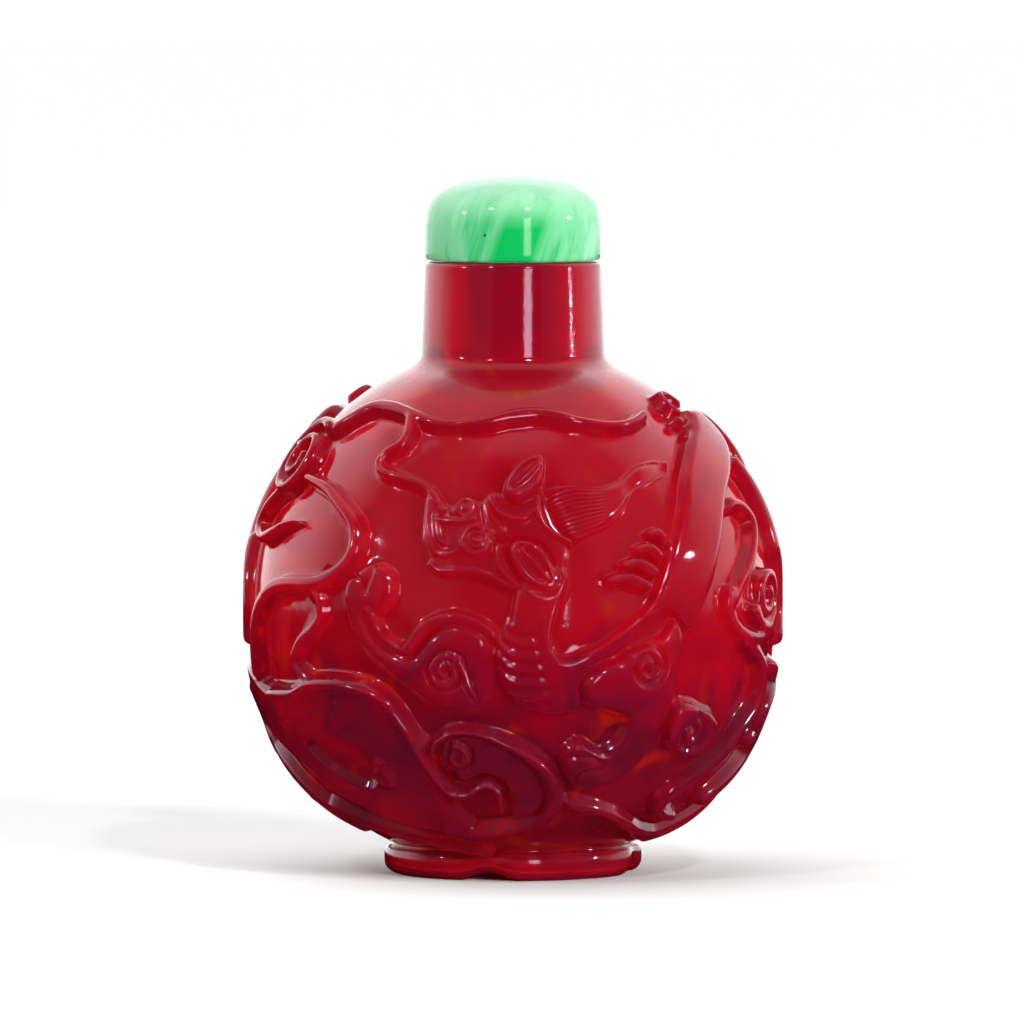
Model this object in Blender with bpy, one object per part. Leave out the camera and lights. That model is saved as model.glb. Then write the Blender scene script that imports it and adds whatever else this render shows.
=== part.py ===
"""A carved red glass snuff bottle with a green glass stopper on a cork plug.

Metres, +Z up. The origin is at the middle of the foot, on the surface the bottle stands on,
and the front faces -Y. The outside is one turned wall: foot, body, neck, lip, bore and cavity.
The relief is drawn on a sheet wrapped round the body and raised along the wall's normal.
"""
import math

import bmesh
import bpy
import numpy as np

# Body of the bottle, without its carving
BODY_RADIUS = 0.0232
BODY_HEIGHT = 0.0459
BELLY_HEIGHT = 0.0242
BODY_START = 0.0006
LOWER_FULLNESS = 2.2

# Neck and mouth
NECK_BASE_RADIUS = 0.00825
NECK_TAPER = 0.0003
NECK_HEIGHT = 0.0091
NECK_FILLET = 0.0008
LIP_EDGE = 0.0005
BORE_RADIUS = 0.0042
BORE_EDGE = 0.0003

# Hollow
WALL = 0.0032
FLOOR = 0.0032

# Foot
FOOT_RADIUS = 0.0116
FOOT_HEIGHT = 0.0026
FOOT_EDGE = 0.0011
FOOT_RING = 0.0030
FOOT_RECESS = 0.0008
FOOT_GROOVE_DEPTH = 0.0009
FOOT_GROOVE_HEIGHT = 0.0004
LOBES = 4
NOTCH_AZIMUTH = -12.0
NOTCH_HALF_WIDTH = 16.0
NOTCH_DEPTH = 0.0005
NOTCH_RISE = 0.0007

# Stopper cap
CAP_RADIUS = 0.00785
CAP_HEIGHT = 0.0075
CAP_SIDE = 0.0030
CAP_EDGE = 0.0004
CAP_SHOULDER_POWER = 2.7
CAP_CROWN_POWER = 2.2

# Cork plug under the cap
CORK_LENGTH = 0.0058
CORK_TAPER = 0.0003
CORK_EDGE = 0.0003

# Gap left between pieces that touch
CLEARANCE = 0.0003

# The carving is drawn in degrees round the body and in units up it
SHEET_HEIGHT = 45.9
UNIT = BODY_HEIGHT / SHEET_HEIGHT
LINE_STEP = 0.6
ENDLESS = 50.0
SMALL = 1e-9

# Upper and lower edge of the mane, from its root to its tip
MANE_FAN = (((8.3, 35), (12.6, 30.8)), ((14.2, 35.6), (17, 31.3)), ((21.2, 35.5), (22, 32.1)),
            ((26.8, 36), (27, 33.4)), ((34, 37.3), (33, 35.2)), ((43.5, 37.6), (43, 36.5)))

# Mesh fineness
COLUMNS = 288
BODY_ROWS = 132
CAVITY_ROWS = 40
BOTTLE_TRIANGLES = 8000
CAP_COLUMNS = 40
CAP_ROWS = 10
CORK_COLUMNS = 24
EDGE_STEPS = 3
SOFTEN_PASSES = 2
SMOOTH_ANGLE = math.radians(40)

LIP_HEIGHT = BODY_HEIGHT + NECK_HEIGHT
LIP_RADIUS = NECK_BASE_RADIUS - NECK_TAPER
CAP_START = LIP_HEIGHT + CLEARANCE
CORK_RADIUS = BORE_RADIUS - CLEARANCE
CAVITY_RADIUS = BODY_RADIUS - WALL
CAVITY_FLOOR = FOOT_RECESS + FLOOR
CARVED_FROM = FOOT_HEIGHT + FOOT_GROOVE_HEIGHT


# Profiles

def belly_profile(height, radius, bottom, top_reach):
    """Radius of a belly that closes at its bottom and narrows evenly above its widest place."""
    lower = np.clip((BELLY_HEIGHT - height) / (BELLY_HEIGHT - bottom), 0, 1)
    upper = np.clip((height - BELLY_HEIGHT) / top_reach, 0, 1)
    below = (1 - lower ** LOWER_FULLNESS) ** (1 / LOWER_FULLNESS)
    above = np.sqrt(1 - upper ** 2)
    return radius * np.where(height < BELLY_HEIGHT, below, above)


def body_radius(height):
    """Radius of the uncarved body at a height."""
    neck_share = NECK_BASE_RADIUS / BODY_RADIUS
    crown = (BODY_HEIGHT - BELLY_HEIGHT) / math.sqrt(1 - neck_share ** 2)
    return belly_profile(np.asarray(height, float), BODY_RADIUS, BODY_START, crown)


def cavity_crown():
    """Height from the belly to the top of the hollow's own curve."""
    neck_share = NECK_BASE_RADIUS / BODY_RADIUS
    return (BODY_HEIGHT - BELLY_HEIGHT) / math.sqrt(1 - neck_share ** 2) - WALL


def arc(centre_radius, centre_height, size, start, end):
    """Points of a rounded edge, turned by degrees from outwards."""
    angles = np.radians(np.linspace(start, end, EDGE_STEPS + 1))
    return [(centre_radius + size * math.cos(a), centre_height + size * math.sin(a)) for a in angles]


def bend(first, corner, last):
    """Points of a soft bend from one place to another round a corner."""
    points = []
    for t in np.linspace(0, 1, EDGE_STEPS + 2):
        points.append(tuple((1 - t) ** 2 * first[i] + 2 * t * (1 - t) * corner[i] + t ** 2 * last[i]
                            for i in range(2)))
    return points


def foot_profile():
    """The underside and the outside of the foot, from its middle out."""
    ring_inside = FOOT_RADIUS - FOOT_RING
    flat_end = FOOT_RADIUS - FOOT_EDGE
    groove = FOOT_RADIUS - FOOT_GROOVE_DEPTH
    points = [(ring_inside / 2, FOOT_RECESS), (ring_inside - FOOT_RECESS, FOOT_RECESS), (ring_inside, 0.0)]
    points += arc(flat_end, FOOT_EDGE, FOOT_EDGE, -90, 0)
    points += bend((FOOT_RADIUS, FOOT_HEIGHT - FOOT_GROOVE_DEPTH), (FOOT_RADIUS, FOOT_HEIGHT),
                   (groove, FOOT_HEIGHT))
    return points


def body_heights():
    """Heights of the body's rows, evenly spaced along its outline."""
    fine = np.linspace(CARVED_FROM, BODY_HEIGHT - NECK_FILLET, 40 * BODY_ROWS)
    radius = body_radius(fine)
    along = np.concatenate([[0], np.cumsum(np.hypot(np.diff(fine), np.diff(radius)))])
    return np.interp(np.linspace(0, along[-1], BODY_ROWS), along, fine)


def mouth_profile():
    """The neck, its lip and the bore, from the shoulder up and in."""
    shoulder = BODY_HEIGHT - NECK_FILLET
    points = bend((float(body_radius(shoulder)), shoulder), (NECK_BASE_RADIUS, BODY_HEIGHT),
                  (NECK_BASE_RADIUS, BODY_HEIGHT + NECK_FILLET))[1:]
    points += arc(LIP_RADIUS - LIP_EDGE, LIP_HEIGHT - LIP_EDGE, LIP_EDGE, 0, 90)
    points += arc(BORE_RADIUS + BORE_EDGE, LIP_HEIGHT - BORE_EDGE, BORE_EDGE, 90, 180)
    return points


def cavity_profile():
    """The hollow, from the foot of the bore down to the middle of its floor."""
    crown = cavity_crown()
    top = BELLY_HEIGHT + crown * math.sqrt(1 - (BORE_RADIUS / CAVITY_RADIUS) ** 2)
    turns = np.linspace(0, 1, CAVITY_ROWS)
    start = math.asin((top - BELLY_HEIGHT) / crown)
    depth = BELLY_HEIGHT - CAVITY_FLOOR
    points = []
    for turn in start - turns * (start + math.pi / 2):
        reach = crown if turn > 0 else depth
        height = BELLY_HEIGHT + reach * math.sin(turn)
        points.append((float(belly_profile(np.float64(height), CAVITY_RADIUS, CAVITY_FLOOR, crown)), height))
    return points[:-1]


def cap_profile():
    """The stopper's cap, from the middle of its underside to its crown."""
    top = CAP_START + CAP_HEIGHT
    side = CAP_START + CAP_SIDE
    points = arc(CAP_RADIUS - CAP_EDGE, CAP_START + CAP_EDGE, CAP_EDGE, -90, 0)
    for i in range(CAP_ROWS):
        t = math.sin(math.pi / 2 * i / CAP_ROWS)
        radius = CAP_RADIUS * (1 - t ** CAP_SHOULDER_POWER) ** (1 / CAP_CROWN_POWER)
        points.append((radius, side + t * (top - side)))
    return points, CAP_START, top


def cork_profile():
    """The tapered cork plug, from the middle of its lower end to its upper end."""
    bottom = LIP_HEIGHT - CORK_LENGTH
    low_radius = CORK_RADIUS - CORK_TAPER
    points = arc(low_radius - CORK_EDGE, bottom + CORK_EDGE, CORK_EDGE, -90, 0)
    points += [(CORK_RADIUS, LIP_HEIGHT)]
    return points, bottom, LIP_HEIGHT


# The drawing of the relief

def on_ground(azimuth, height):
    """Points of the uncarved body, for degrees from the front and units up."""
    turn = np.radians(azimuth)
    radius = body_radius(np.asarray(height) * UNIT) / UNIT
    return np.stack([radius * np.sin(turn), -radius * np.cos(turn), height + 0 * radius], axis=-1)


def smooth_line(points, closed=False):
    """A smooth curve through hand-set points of the sheet."""
    points = np.array(points, float)
    count = len(points)
    line = []
    for i in range(count if closed else count - 1):
        if closed:
            a, b, c, d = (points[(i + k) % count] for k in (-1, 0, 1, 2))
        else:
            a, b, c, d = (points[min(max(i + k, 0), count - 1)] for k in (-1, 0, 1, 2))
        reach = np.linalg.norm(on_ground(*c) - on_ground(*b))
        steps = max(2, math.ceil(reach / LINE_STEP))
        t = np.linspace(0, 1, steps, endpoint=False)[:, None]
        line.append(0.5 * (2 * b + (c - a) * t + (2 * a - 5 * b + 4 * c - d) * t ** 2
                           + (3 * b - a - 3 * c + d) * t ** 3))
    line.append(points[:1] if closed else points[-1:])
    return np.vstack(line)


def spiral(centre, radius, turns, start, inner=0.25):
    """Sheet points of a curl that winds in from its radius; turns below 0 wind clockwise."""
    steps = max(8, math.ceil(abs(turns) * 10))
    share = np.linspace(0, 1, steps + 1)
    angle = np.radians(start + 360 * turns * share)
    reach = radius * (1 - (1 - inner) * share)
    ground = body_radius(centre[1] * UNIT) / UNIT
    azimuth = centre[0] + np.degrees(reach * np.cos(angle) / ground)
    return list(zip(azimuth, centre[1] + reach * np.sin(angle)))


class Carving:
    """The relief at the points of a surface, built up form by form, in units."""

    def __init__(self, azimuth, height):
        self.azimuth = azimuth
        self.height = height
        self.points = on_ground(azimuth, height)
        self.relief = np.zeros(azimuth.shape)

    def near(self, line, reach):
        """The points about a line, with their distance from it and their share along it."""
        turn_reach = np.degrees(reach * UNIT / body_radius(line[:, 1] * UNIT))
        found = ((self.azimuth > (line[:, 0] - turn_reach).min())
                 & (self.azimuth < (line[:, 0] + turn_reach).max())
                 & (self.height > line[:, 1].min() - reach)
                 & (self.height < line[:, 1].max() + reach))
        index = np.nonzero(found)[0]
        points = self.points[index]
        distance = np.full(len(index), ENDLESS)
        share = np.zeros(len(index))
        knots = on_ground(line[:, 0], line[:, 1])
        lengths = np.linalg.norm(np.diff(knots, axis=0), axis=1)
        before = np.concatenate([[0], np.cumsum(lengths)])
        for i, length in enumerate(lengths):
            along = knots[i + 1] - knots[i]
            t = np.clip((points - knots[i]) @ along / max(length ** 2, SMALL), 0, 1)
            gap = np.linalg.norm(points - knots[i] - t[:, None] * along, axis=1)
            closer = gap < distance
            distance[closer] = gap[closer]
            share[closer] = (before[i] + t[closer] * length) / before[-1]
        return index, distance, share

    def lay(self, index, inside, edge, height, moat):
        """Raise a form to a height, with a rounded edge, and cut a moat round it."""
        rise = np.clip(inside / edge, 0, 1)
        form = height * np.sqrt(1 - (1 - rise) ** 2)
        if moat:
            keep = np.clip(-inside / moat, 0, 1)
            self.relief[index] *= np.where(inside > 0, 1.0, keep)
        self.relief[index] = np.maximum(self.relief[index], form)

    def band(self, points, widths, height, moat=0.0):
        """A raised band along a curve; widths are half-widths spread along it."""
        line = smooth_line(points)
        widths = np.atleast_1d(np.array(widths, float))
        index, distance, share = self.near(line, widths.max() + moat)
        width = np.interp(share, np.linspace(0, 1, len(widths)), widths)
        self.lay(index, width - distance, width, height, moat)

    def outline(self, points, margin):
        """The points about a closed outline, with how far inside it they lie."""
        line = smooth_line(points, closed=True)
        index, distance, _ = self.near(line, margin)
        x = self.azimuth[index]
        y = self.height[index]
        inside = np.zeros(len(index), bool)
        for (xa, ya), (xb, yb) in zip(line[:-1], line[1:]):
            if ya != yb:
                inside ^= ((ya > y) != (yb > y)) & (x < xa + (y - ya) * (xb - xa) / (yb - ya))
        return index, np.where(inside, distance, -distance)

    def patch(self, points, height, edge, moat=0.0):
        """A raised area inside a smooth closed outline."""
        index, inside = self.outline(points, moat + LINE_STEP)
        self.lay(index, inside, edge, height, moat)

    def window(self, points, floor, edge):
        """A sunk area inside a smooth closed outline, cut down to a floor."""
        index, inside = self.outline(points, LINE_STEP)
        share = np.clip(inside / edge, 0, 1)
        drop = np.maximum(self.relief[index] - floor, 0)
        self.relief[index] -= drop * np.sqrt(1 - (1 - share) ** 2)

    def groove(self, points, width, depth):
        """A cut along a curve, with its half-width and depth."""
        index, distance, _ = self.near(smooth_line(points), width)
        self.relief[index] -= depth * (1 - np.clip(distance / width, 0, 1) ** 2)


# The motifs of one face, each in degrees from the front and units up

def whiskers(c):
    """The long whisker under the shoulder, and the strand that drops from it to the muzzle."""
    c.band([(-62, 39.9), (-53, 41.6), (-44, 41.8), (-34, 41.3), (-22, 40.5), (-10, 40.6), (0, 41.3),
            (10, 41.4), (20, 40.7), (30, 40.3), (38, 40.5), (44.5, 41.1)],
           (0.75, 0.9, 0.9, 0.75, 0.6, 0.65, 0.95, 0.85, 0.65, 0.65, 0.6), 1.3)
    c.band([(-33, 41), (-31, 39.7), (-31.7, 38.8), (-35, 38.1), (-36.5, 37.2), (-34, 36.4),
            (-27, 35.9), (-21, 35.2), (-18, 34)], (0.75, 0.65, 0.6, 0.6), 1.3)


def head(c):
    """The dragon's head in profile: muzzle, jaw, brow and two leaf ears."""
    c.patch([(-20.8, 34), (-20.9, 32.6), (-19.6, 31), (-18.2, 29.2), (-16, 28.3), (-11, 28), (-5, 27.8),
             (-0.5, 26.8), (3, 26.2), (6, 25.8), (9, 26.2), (11, 28), (12.3, 30.2), (9.6, 31.4),
             (7, 33), (5.6, 35), (0, 34.3), (-3, 35), (-5.5, 35), (-7.8, 34.3), (-10.8, 34.6),
             (-13, 34.3), (-15.2, 33.9), (-17.4, 34.5)], 0.9, 0.6)
    c.band([(-19.4, 34.4), (-19.8, 33), (-18.9, 31.3), (-17.2, 30), (-15.4, 29.7), (-13, 29.8),
            (-11, 30.2)], 0.5, 1.3)
    c.band([(-18, 28.9), (-15.8, 28.3), (-12, 28.4), (-8, 28.3), (-4, 27.8), (-0.5, 27)], 0.38, 1.2)
    c.band([(-5.6, 34.6), (-3.6, 33.3), (-0.4, 32.7), (2.6, 32.7), (4.8, 33.3)], (0.3, 0.5, 0.55, 0.4), 1.25)
    c.patch([(-2.3, 35), (-1.2, 36.4), (1.8, 37.4), (5.5, 37.9), (8.1, 37.8), (7.8, 36.5), (6.3, 35.3),
             (3.2, 34.4), (-0.2, 34.1)], 1.6, 0.55, moat=0.3)
    c.patch([(-1.3, 30), (0, 30.9), (3, 31), (6, 30.5), (8.2, 29.3), (9.5, 27.8), (9.2, 26.6),
             (6.3, 26.6), (3, 27.2), (0.4, 28.4)], 1.6, 0.55, moat=0.3)


def mane(c):
    """The swept mane behind the head, and the collar at its root."""
    upper = [pair[0] for pair in MANE_FAN]
    lower = [pair[1] for pair in MANE_FAN]
    c.patch(upper + lower[::-1], 1.15, 0.7)
    c.band([(5.7, 34.4), (6.1, 32.8), (8.2, 31.6), (12.2, 30.7)], 0.42, 1.4, moat=0.2)


def claw(c):
    """The clenched claw in front of the body sweep, four slanting knuckles."""
    for knuckle in range(4):
        outer = (21.3 + 3.6 * knuckle, 27.45 + 1.25 * knuckle)
        inner = (29.8 + 2.0 * knuckle, 26.9 + 1.2 * knuckle)
        crown = ((outer[0] + inner[0]) / 2, (outer[1] + inner[1]) / 2 + 0.45)
        c.band([outer, crown, inner], (0.5, 0.68, 0.62), 1.35, moat=0.12)


def left_limb(c):
    """The left limb, its curled paw and the curl on its haunch."""
    c.patch([(-38.4, 25.5), (-37.6, 23.4), (-34.5, 21.3), (-30, 19.8), (-25, 18.4), (-19, 16.6),
             (-12, 15.8), (-6, 16.6), (-4.5, 19), (-4.6, 22.6), (-8, 23.9), (-12, 24.2), (-15, 23.8),
             (-18.5, 22.7), (-20.7, 21.6), (-22.7, 21.1), (-27, 21.7), (-30, 22.8), (-32, 24.5),
             (-34.5, 25.8)], 1.1, 1.6)
    c.patch([(-38.8, 25.8), (-38, 27.5), (-35.6, 28.2), (-33, 28.8), (-29, 28.8), (-26.2, 27.6),
             (-26.3, 25.8), (-29, 24.5), (-32.4, 24.3), (-36.5, 24)], 1.4, 1.0)
    c.band([(-31.8, 24.7), (-29.5, 22.9), (-26, 21.8), (-23.6, 21.5), (-21.6, 22.3), (-19.6, 23.4),
            (-16.6, 24.1), (-13, 24.4), (-9.6, 24.2), (-6, 23.5), (-3.6, 22.7)],
           (0.45, 0.45, 0.5, 0.52, 0.5), 1.45, moat=0.25)
    c.band(spiral((-14.3, 19.6), 1.55, 1.6, 30), (0.42, 0.36, 0.3), 1.45, moat=0.2)
    c.band([(-10.9, 20.3), (-9.8, 19), (-7.9, 17.2)], (0.4, 0.3, 0.12), 1.45, moat=0.15)


def left_clouds(c):
    """The scrolling cloud on the left, with its curl, arch and hook."""
    c.band(spiral((-70, 37), 3.2, 1.9, 60), (0.8, 0.6), 1.6)
    c.band([(-60, 35.6), (-51, 34.9), (-45.5, 33.9), (-39, 32.2), (-37, 30.4), (-38.5, 28.7),
            (-43.5, 27.3), (-49, 26.8), (-56, 26.7), (-63, 26.2), (-69, 25), (-73, 23.6),
            (-75.5, 21.5), (-75.5, 18.5)], (0.6, 0.95, 0.95, 0.85), 1.4)
    c.band([(-50, 26.6), (-46.5, 25.8), (-45.5, 24.2), (-48, 22.9), (-52, 21.9), (-54.5, 20.6),
            (-54.5, 19.6), (-52, 18.7)], 0.62, 1.2)
    c.band([(-72, 34.2), (-78, 32.8), (-80, 31.2), (-74, 30.3), (-68, 30.8), (-63, 31.5),
            (-58, 31.9)], (0.6, 0.6, 0.8, 0.2), 1.4)


def lower_left(c):
    """The broad haunch at the lower left, rimmed, with a pierced window and a curl."""
    c.patch([(-95, 19), (-84, 19.2), (-73, 17.9), (-65, 17.3), (-57, 17.8), (-50.5, 18.8),
             (-42, 19.1), (-34, 18.8), (-29.5, 18), (-26.5, 17), (-24.5, 15.7), (-22.3, 14.3),
             (-19.5, 13), (-18, 9), (-10, 4.5), (-27, 5.2), (-40, 6), (-47, 6.8), (-52, 7.9),
             (-61, 9.9), (-69, 11.3), (-76, 12.6), (-86, 14.5)], 1.2, 1.0)
    c.band([(-67, 17), (-57, 17.2), (-50, 18.1), (-42, 18.3), (-34, 17.9), (-29, 17),
            (-25.8, 15.4), (-23.4, 13.6), (-21, 11.7), (-18.2, 10), (-14.8, 9), (-11.8, 9.1),
            (-8.6, 9.8), (-5.4, 9.9), (-3, 9.1), (-2.6, 7.8)], (0.6, 0.65, 0.65, 0.55, 0.5), 1.6)
    c.window([(-57, 12.8), (-52, 13.7), (-46, 13.8), (-39.5, 13), (-36, 11.6), (-37, 9.8),
              (-41, 9.4), (-48, 10.3), (-54, 11.6)], 0.35, 0.5)
    c.band(spiral((-33, 10.6), 1.2, 1.0, 90), 0.5, 1.6)


def bottom_scroll(c):
    """The large scroll low on the front: a plate inside a rim that widens to the right."""
    c.patch([(-18, 12.2), (-16, 13.9), (-8, 14), (-2.8, 13.4), (1.8, 12.4), (5.4, 11.3), (8, 9.8),
             (8.4, 8.2), (5.6, 7), (2, 6.7), (-1, 7.2), (-1.7, 8.2), (-2, 9.5), (-4.2, 10.3),
             (-7, 10.6), (-9.8, 10.2), (-12.4, 10), (-14.8, 10.5), (-16.8, 11.2)], 1.05, 0.4, moat=0.4)
    c.band([(-18.9, 12.5), (-18.2, 13.4), (-15.4, 14.2), (-11.8, 14.5), (-7, 14.3), (-2.5, 13.7),
            (2.5, 12.7), (6.8, 11.5), (9.6, 10.1), (11.3, 8.6), (10.2, 7.2), (6.5, 6.4), (1.5, 6),
            (-5, 5.7), (-13, 5.6), (-21, 5.9)],
           (0.25, 0.32, 0.36, 0.5, 0.72, 1.0, 0.85, 0.7, 0.65, 0.6), 1.6)
    c.groove([(-14.6, 10.8), (-16, 10.3), (-15.7, 9.6), (-13, 9.5), (-9.8, 10.2), (-7, 10.6),
              (-4.2, 10.3), (-2.1, 9.5), (-1.5, 8.2), (-1.1, 7.3)], 0.32, 0.9)
    c.band(spiral((-13, 12.3), 1.0, -1.1, 100), 0.4, 1.5, moat=0.2)


def right_clouds(c):
    """The clouds on the right: two curls, the straps that wrap them and a rosette."""
    c.band(spiral((71, 25.2), 2.9, 1.6, 200), (0.75, 0.6), 1.6)
    c.band([(54, 26), (53.3, 25), (54.5, 23.6), (58, 22.5), (65, 21.8), (74, 22)], 0.7, 1.4)
    c.band([(57, 33), (61.5, 33.4), (66, 33.1), (69.5, 31.9), (68, 30.6), (65, 29.2), (61.5, 27.9),
            (57.5, 26.6), (55, 25.2)], 0.75, 1.3)
    c.band([(60, 21.6), (65, 20.6), (70, 19), (72, 17.2), (70, 15.3), (66, 13.8), (63, 12.3),
            (59, 11), (53, 9.6), (48, 8.6), (46, 7.6), (49, 6.7), (56, 6.4)], (0.8, 0.9, 1.1, 0.7), 1.4)
    c.band([(70, 37.4), (76, 36.6), (81, 34.4), (84, 31.6), (84.5, 29.3)], (0.5, 1.0, 1.3, 1.2), 1.45)
    c.band(spiral((63, 41.6), 1.7, 1.2, 220), 0.5, 1.3)
    c.patch([(37.5, 13.8), (39, 16.4), (43.5, 16.7), (48, 16), (51.5, 15.6), (55.5, 14.2),
             (56.5, 12.7), (52, 11.7), (45, 11.8), (39.5, 12.8)], 1.3, 0.8, moat=0.3)
    c.groove(spiral((45, 13.9), 1.7, -1.3, 80), 0.4, 0.6)
    c.band([(16, 7.9), (24, 7.3), (31, 6.7), (38, 5.9), (46, 5.1), (58, 4.6)], 0.7, 1.2)


def side_leaves(c):
    """Leaf bands down both sides, which break the outline."""
    c.band([(96, 17), (88, 16.4), (84, 14), (88, 11.5), (80, 9.4), (70, 7.6)], 1.0, 1.4)
    c.band([(90, 7.5), (78, 5.8), (66, 4.8), (56, 4.4)], 0.9, 1.2)
    c.band([(-97, 12.5), (-88, 11), (-78, 8.6), (-68, 6.6), (-58, 5.4)], 0.95, 1.3)
    c.band([(-92, 29.5), (-89, 26.5), (-88, 23.5), (-90, 21.5)], 1.2, 1.4)


def tail(c):
    """The tail that runs down to the notch between the front lobes of the foot."""
    c.band([(-66, 7), (-50, 5.4), (-35, 4.5), (-22, 3.8), (-12, 3.2)], (0.7, 0.9, 0.9), 1.2)


def body_sweep(c):
    """The body, a broad band that sweeps up to the right shoulder of the bottle."""
    c.patch([(12.5, 20.8), (18.5, 21.9), (24, 23), (28, 24.4), (31.2, 26), (33, 27.5), (35.5, 29.8),
             (38, 31.9), (41.5, 34.2), (44.5, 36), (48.5, 37.4), (54, 38.8), (60.5, 39.8),
             (68, 41.2), (75, 41), (78, 39.3), (76, 37.6), (68, 35.7), (61.5, 34.3), (57.5, 33),
             (54, 31.1), (50.5, 28.8), (47.5, 26.5), (44.5, 24.9), (42, 23), (38.8, 23.2),
             (35.5, 24.6), (31, 24.6), (26, 22.7), (20, 20.8), (15.5, 19.6)], 1.6, 1.2, moat=0.5)


def chest(c):
    """The neck and the chest below the head, and the rim that runs on under the body."""
    c.patch([(1.2, 27.2), (0.2, 26.2), (-0.2, 25.2), (-0.8, 24.1), (-2.8, 23.2), (-3.7, 21.8),
             (-3.9, 20.1), (-2.6, 18.4), (0.5, 17), (4.8, 16.2), (9, 15.9), (14.5, 16.2), (16, 17.4),
             (16, 19), (14.6, 20.6), (12.8, 20.9), (10, 20.9), (8.6, 21.6), (8.2, 22.9), (9.4, 24.6),
             (10.5, 26.5), (11.6, 28.5), (6, 29)], 1.2, 0.9)
    c.band([(11, 27.8), (9.6, 26.2), (8, 24.5), (7.1, 22.8), (7.7, 21.3), (9.6, 20.4), (12.4, 20.3),
            (15.6, 20.9), (19.4, 21.6), (23, 22.6), (27.5, 24)], (0.35, 0.45, 0.5, 0.5, 0.45, 0.3), 1.5)


def right_limb(c):
    """The right limb, from the curl on its shoulder down to its hooked paw."""
    c.patch([(38.9, 22.4), (38.6, 20.7), (38, 18.8), (37.8, 16.8), (35.7, 14.7), (34.2, 12.8),
             (32, 11.4), (28.3, 10.3), (24, 9.5), (18, 9.3), (14, 10), (11.3, 11.7), (12, 12.9),
             (14, 13.6), (17, 13.5), (20.3, 12.7), (22.7, 13), (25.2, 14), (25.7, 15.5),
             (20, 16.3), (15.8, 17), (14.8, 18.7), (18, 20), (23, 20.6), (26.5, 21.6), (30, 22.1),
             (33.5, 22.5), (36.4, 23.9), (38, 23.6)], 1.35, 0.9, moat=0.25)
    c.groove(spiral((30, 20), 1.95, -1.7, 130), 0.35, 0.6)


MOTIFS = (whiskers, left_clouds, mane, head, claw, left_limb, lower_left, tail, bottom_scroll,
          right_clouds, side_leaves, body_sweep, chest, right_limb)


def soften(grid):
    """The relief with its edges eased, as polishing leaves them."""
    across = (2 * grid + np.roll(grid, 1, axis=1) + np.roll(grid, -1, axis=1)) / 4
    padded = np.pad(across, ((1, 1), (0, 0)), mode="edge")
    return (2 * across + padded[:-2] + padded[2:]) / 4


def relief(azimuth, height):
    """Relief of both faces in metres; the back repeats the front, half a turn round."""
    carving = Carving(azimuth.ravel(), height.ravel())
    for motif in MOTIFS:
        motif(carving)
    one_face = carving.relief.reshape(azimuth.shape)
    other_face = np.roll(one_face, azimuth.shape[1] // 2, axis=1)
    both = np.maximum(np.maximum(one_face, other_face), 0)
    for _ in range(SOFTEN_PASSES):
        both = soften(both)
    return both * UNIT


# Meshes

def notch(azimuth):
    """How far into a notch of the foot each place is, from 0 on a lobe to 1."""
    pitch = 360 / LOBES
    off = (azimuth - NOTCH_AZIMUTH + pitch / 2) % pitch - pitch / 2
    return np.cos(np.clip(off / NOTCH_HALF_WIDTH, -1, 1) * math.pi / 2) ** 2


def ring_rows(profile, azimuth):
    """Plain turned rows, as radius and height for each column."""
    return [(np.full(azimuth.shape, r), np.full(azimuth.shape, z)) for r, z in profile]


def foot_rows(azimuth):
    """The foot's rows, drawn in and lifted at the notches between its lobes."""
    dent = notch(azimuth)
    inner = FOOT_RADIUS - FOOT_RING
    rows = []
    for r, z in foot_profile():
        outward = min(max((r - inner) / FOOT_RING, 0), 1)
        lift = NOTCH_RISE * (1 - z / FOOT_HEIGHT) if r >= inner else 0
        rows.append((r - NOTCH_DEPTH * outward * dent, z + lift * dent))
    return rows


def body_rows(azimuth):
    """The carved rows of the body."""
    heights = body_heights()
    columns, rows = np.meshgrid(azimuth, heights)
    raised = relief(columns, rows / UNIT)
    step = BODY_HEIGHT / BODY_ROWS / 10
    slope = (body_radius(heights + step) - body_radius(heights - step)) / (2 * step)
    out = 1 / np.sqrt(1 + slope ** 2)
    up = -slope * out
    radius = body_radius(heights)
    return [(radius[i] + raised[i] * out[i], heights[i] + raised[i] * up[i])
            for i in range(len(heights))]


def lathe(name, rows, azimuth, bottom, top):
    """A closed mesh from rows of a wall, between a middle point at each end of them."""
    turn = np.radians(azimuth)
    mesh = bmesh.new()
    rings = []
    for radius, height in rows:
        x = radius * np.sin(turn)
        y = -radius * np.cos(turn)
        rings.append([mesh.verts.new(point) for point in zip(x, y, height)])
    first = mesh.verts.new((0, 0, bottom))
    last = mesh.verts.new((0, 0, top))
    columns = len(azimuth)
    for i in range(columns):
        j = (i + 1) % columns
        mesh.faces.new((first, rings[0][j], rings[0][i]))
        mesh.faces.new((last, rings[-1][i], rings[-1][j]))
        for low, high in zip(rings[:-1], rings[1:]):
            mesh.faces.new((low[i], low[j], high[j], high[i]))
    bmesh.ops.recalc_face_normals(mesh, faces=mesh.faces)
    data = bpy.data.meshes.new(name)
    mesh.to_mesh(data)
    mesh.free()
    data.shade_smooth()
    data.set_sharp_from_angle(angle=SMOOTH_ANGLE)
    piece = bpy.data.objects.new(name, data)
    bpy.context.scene.collection.objects.link(piece)
    return piece


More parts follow.
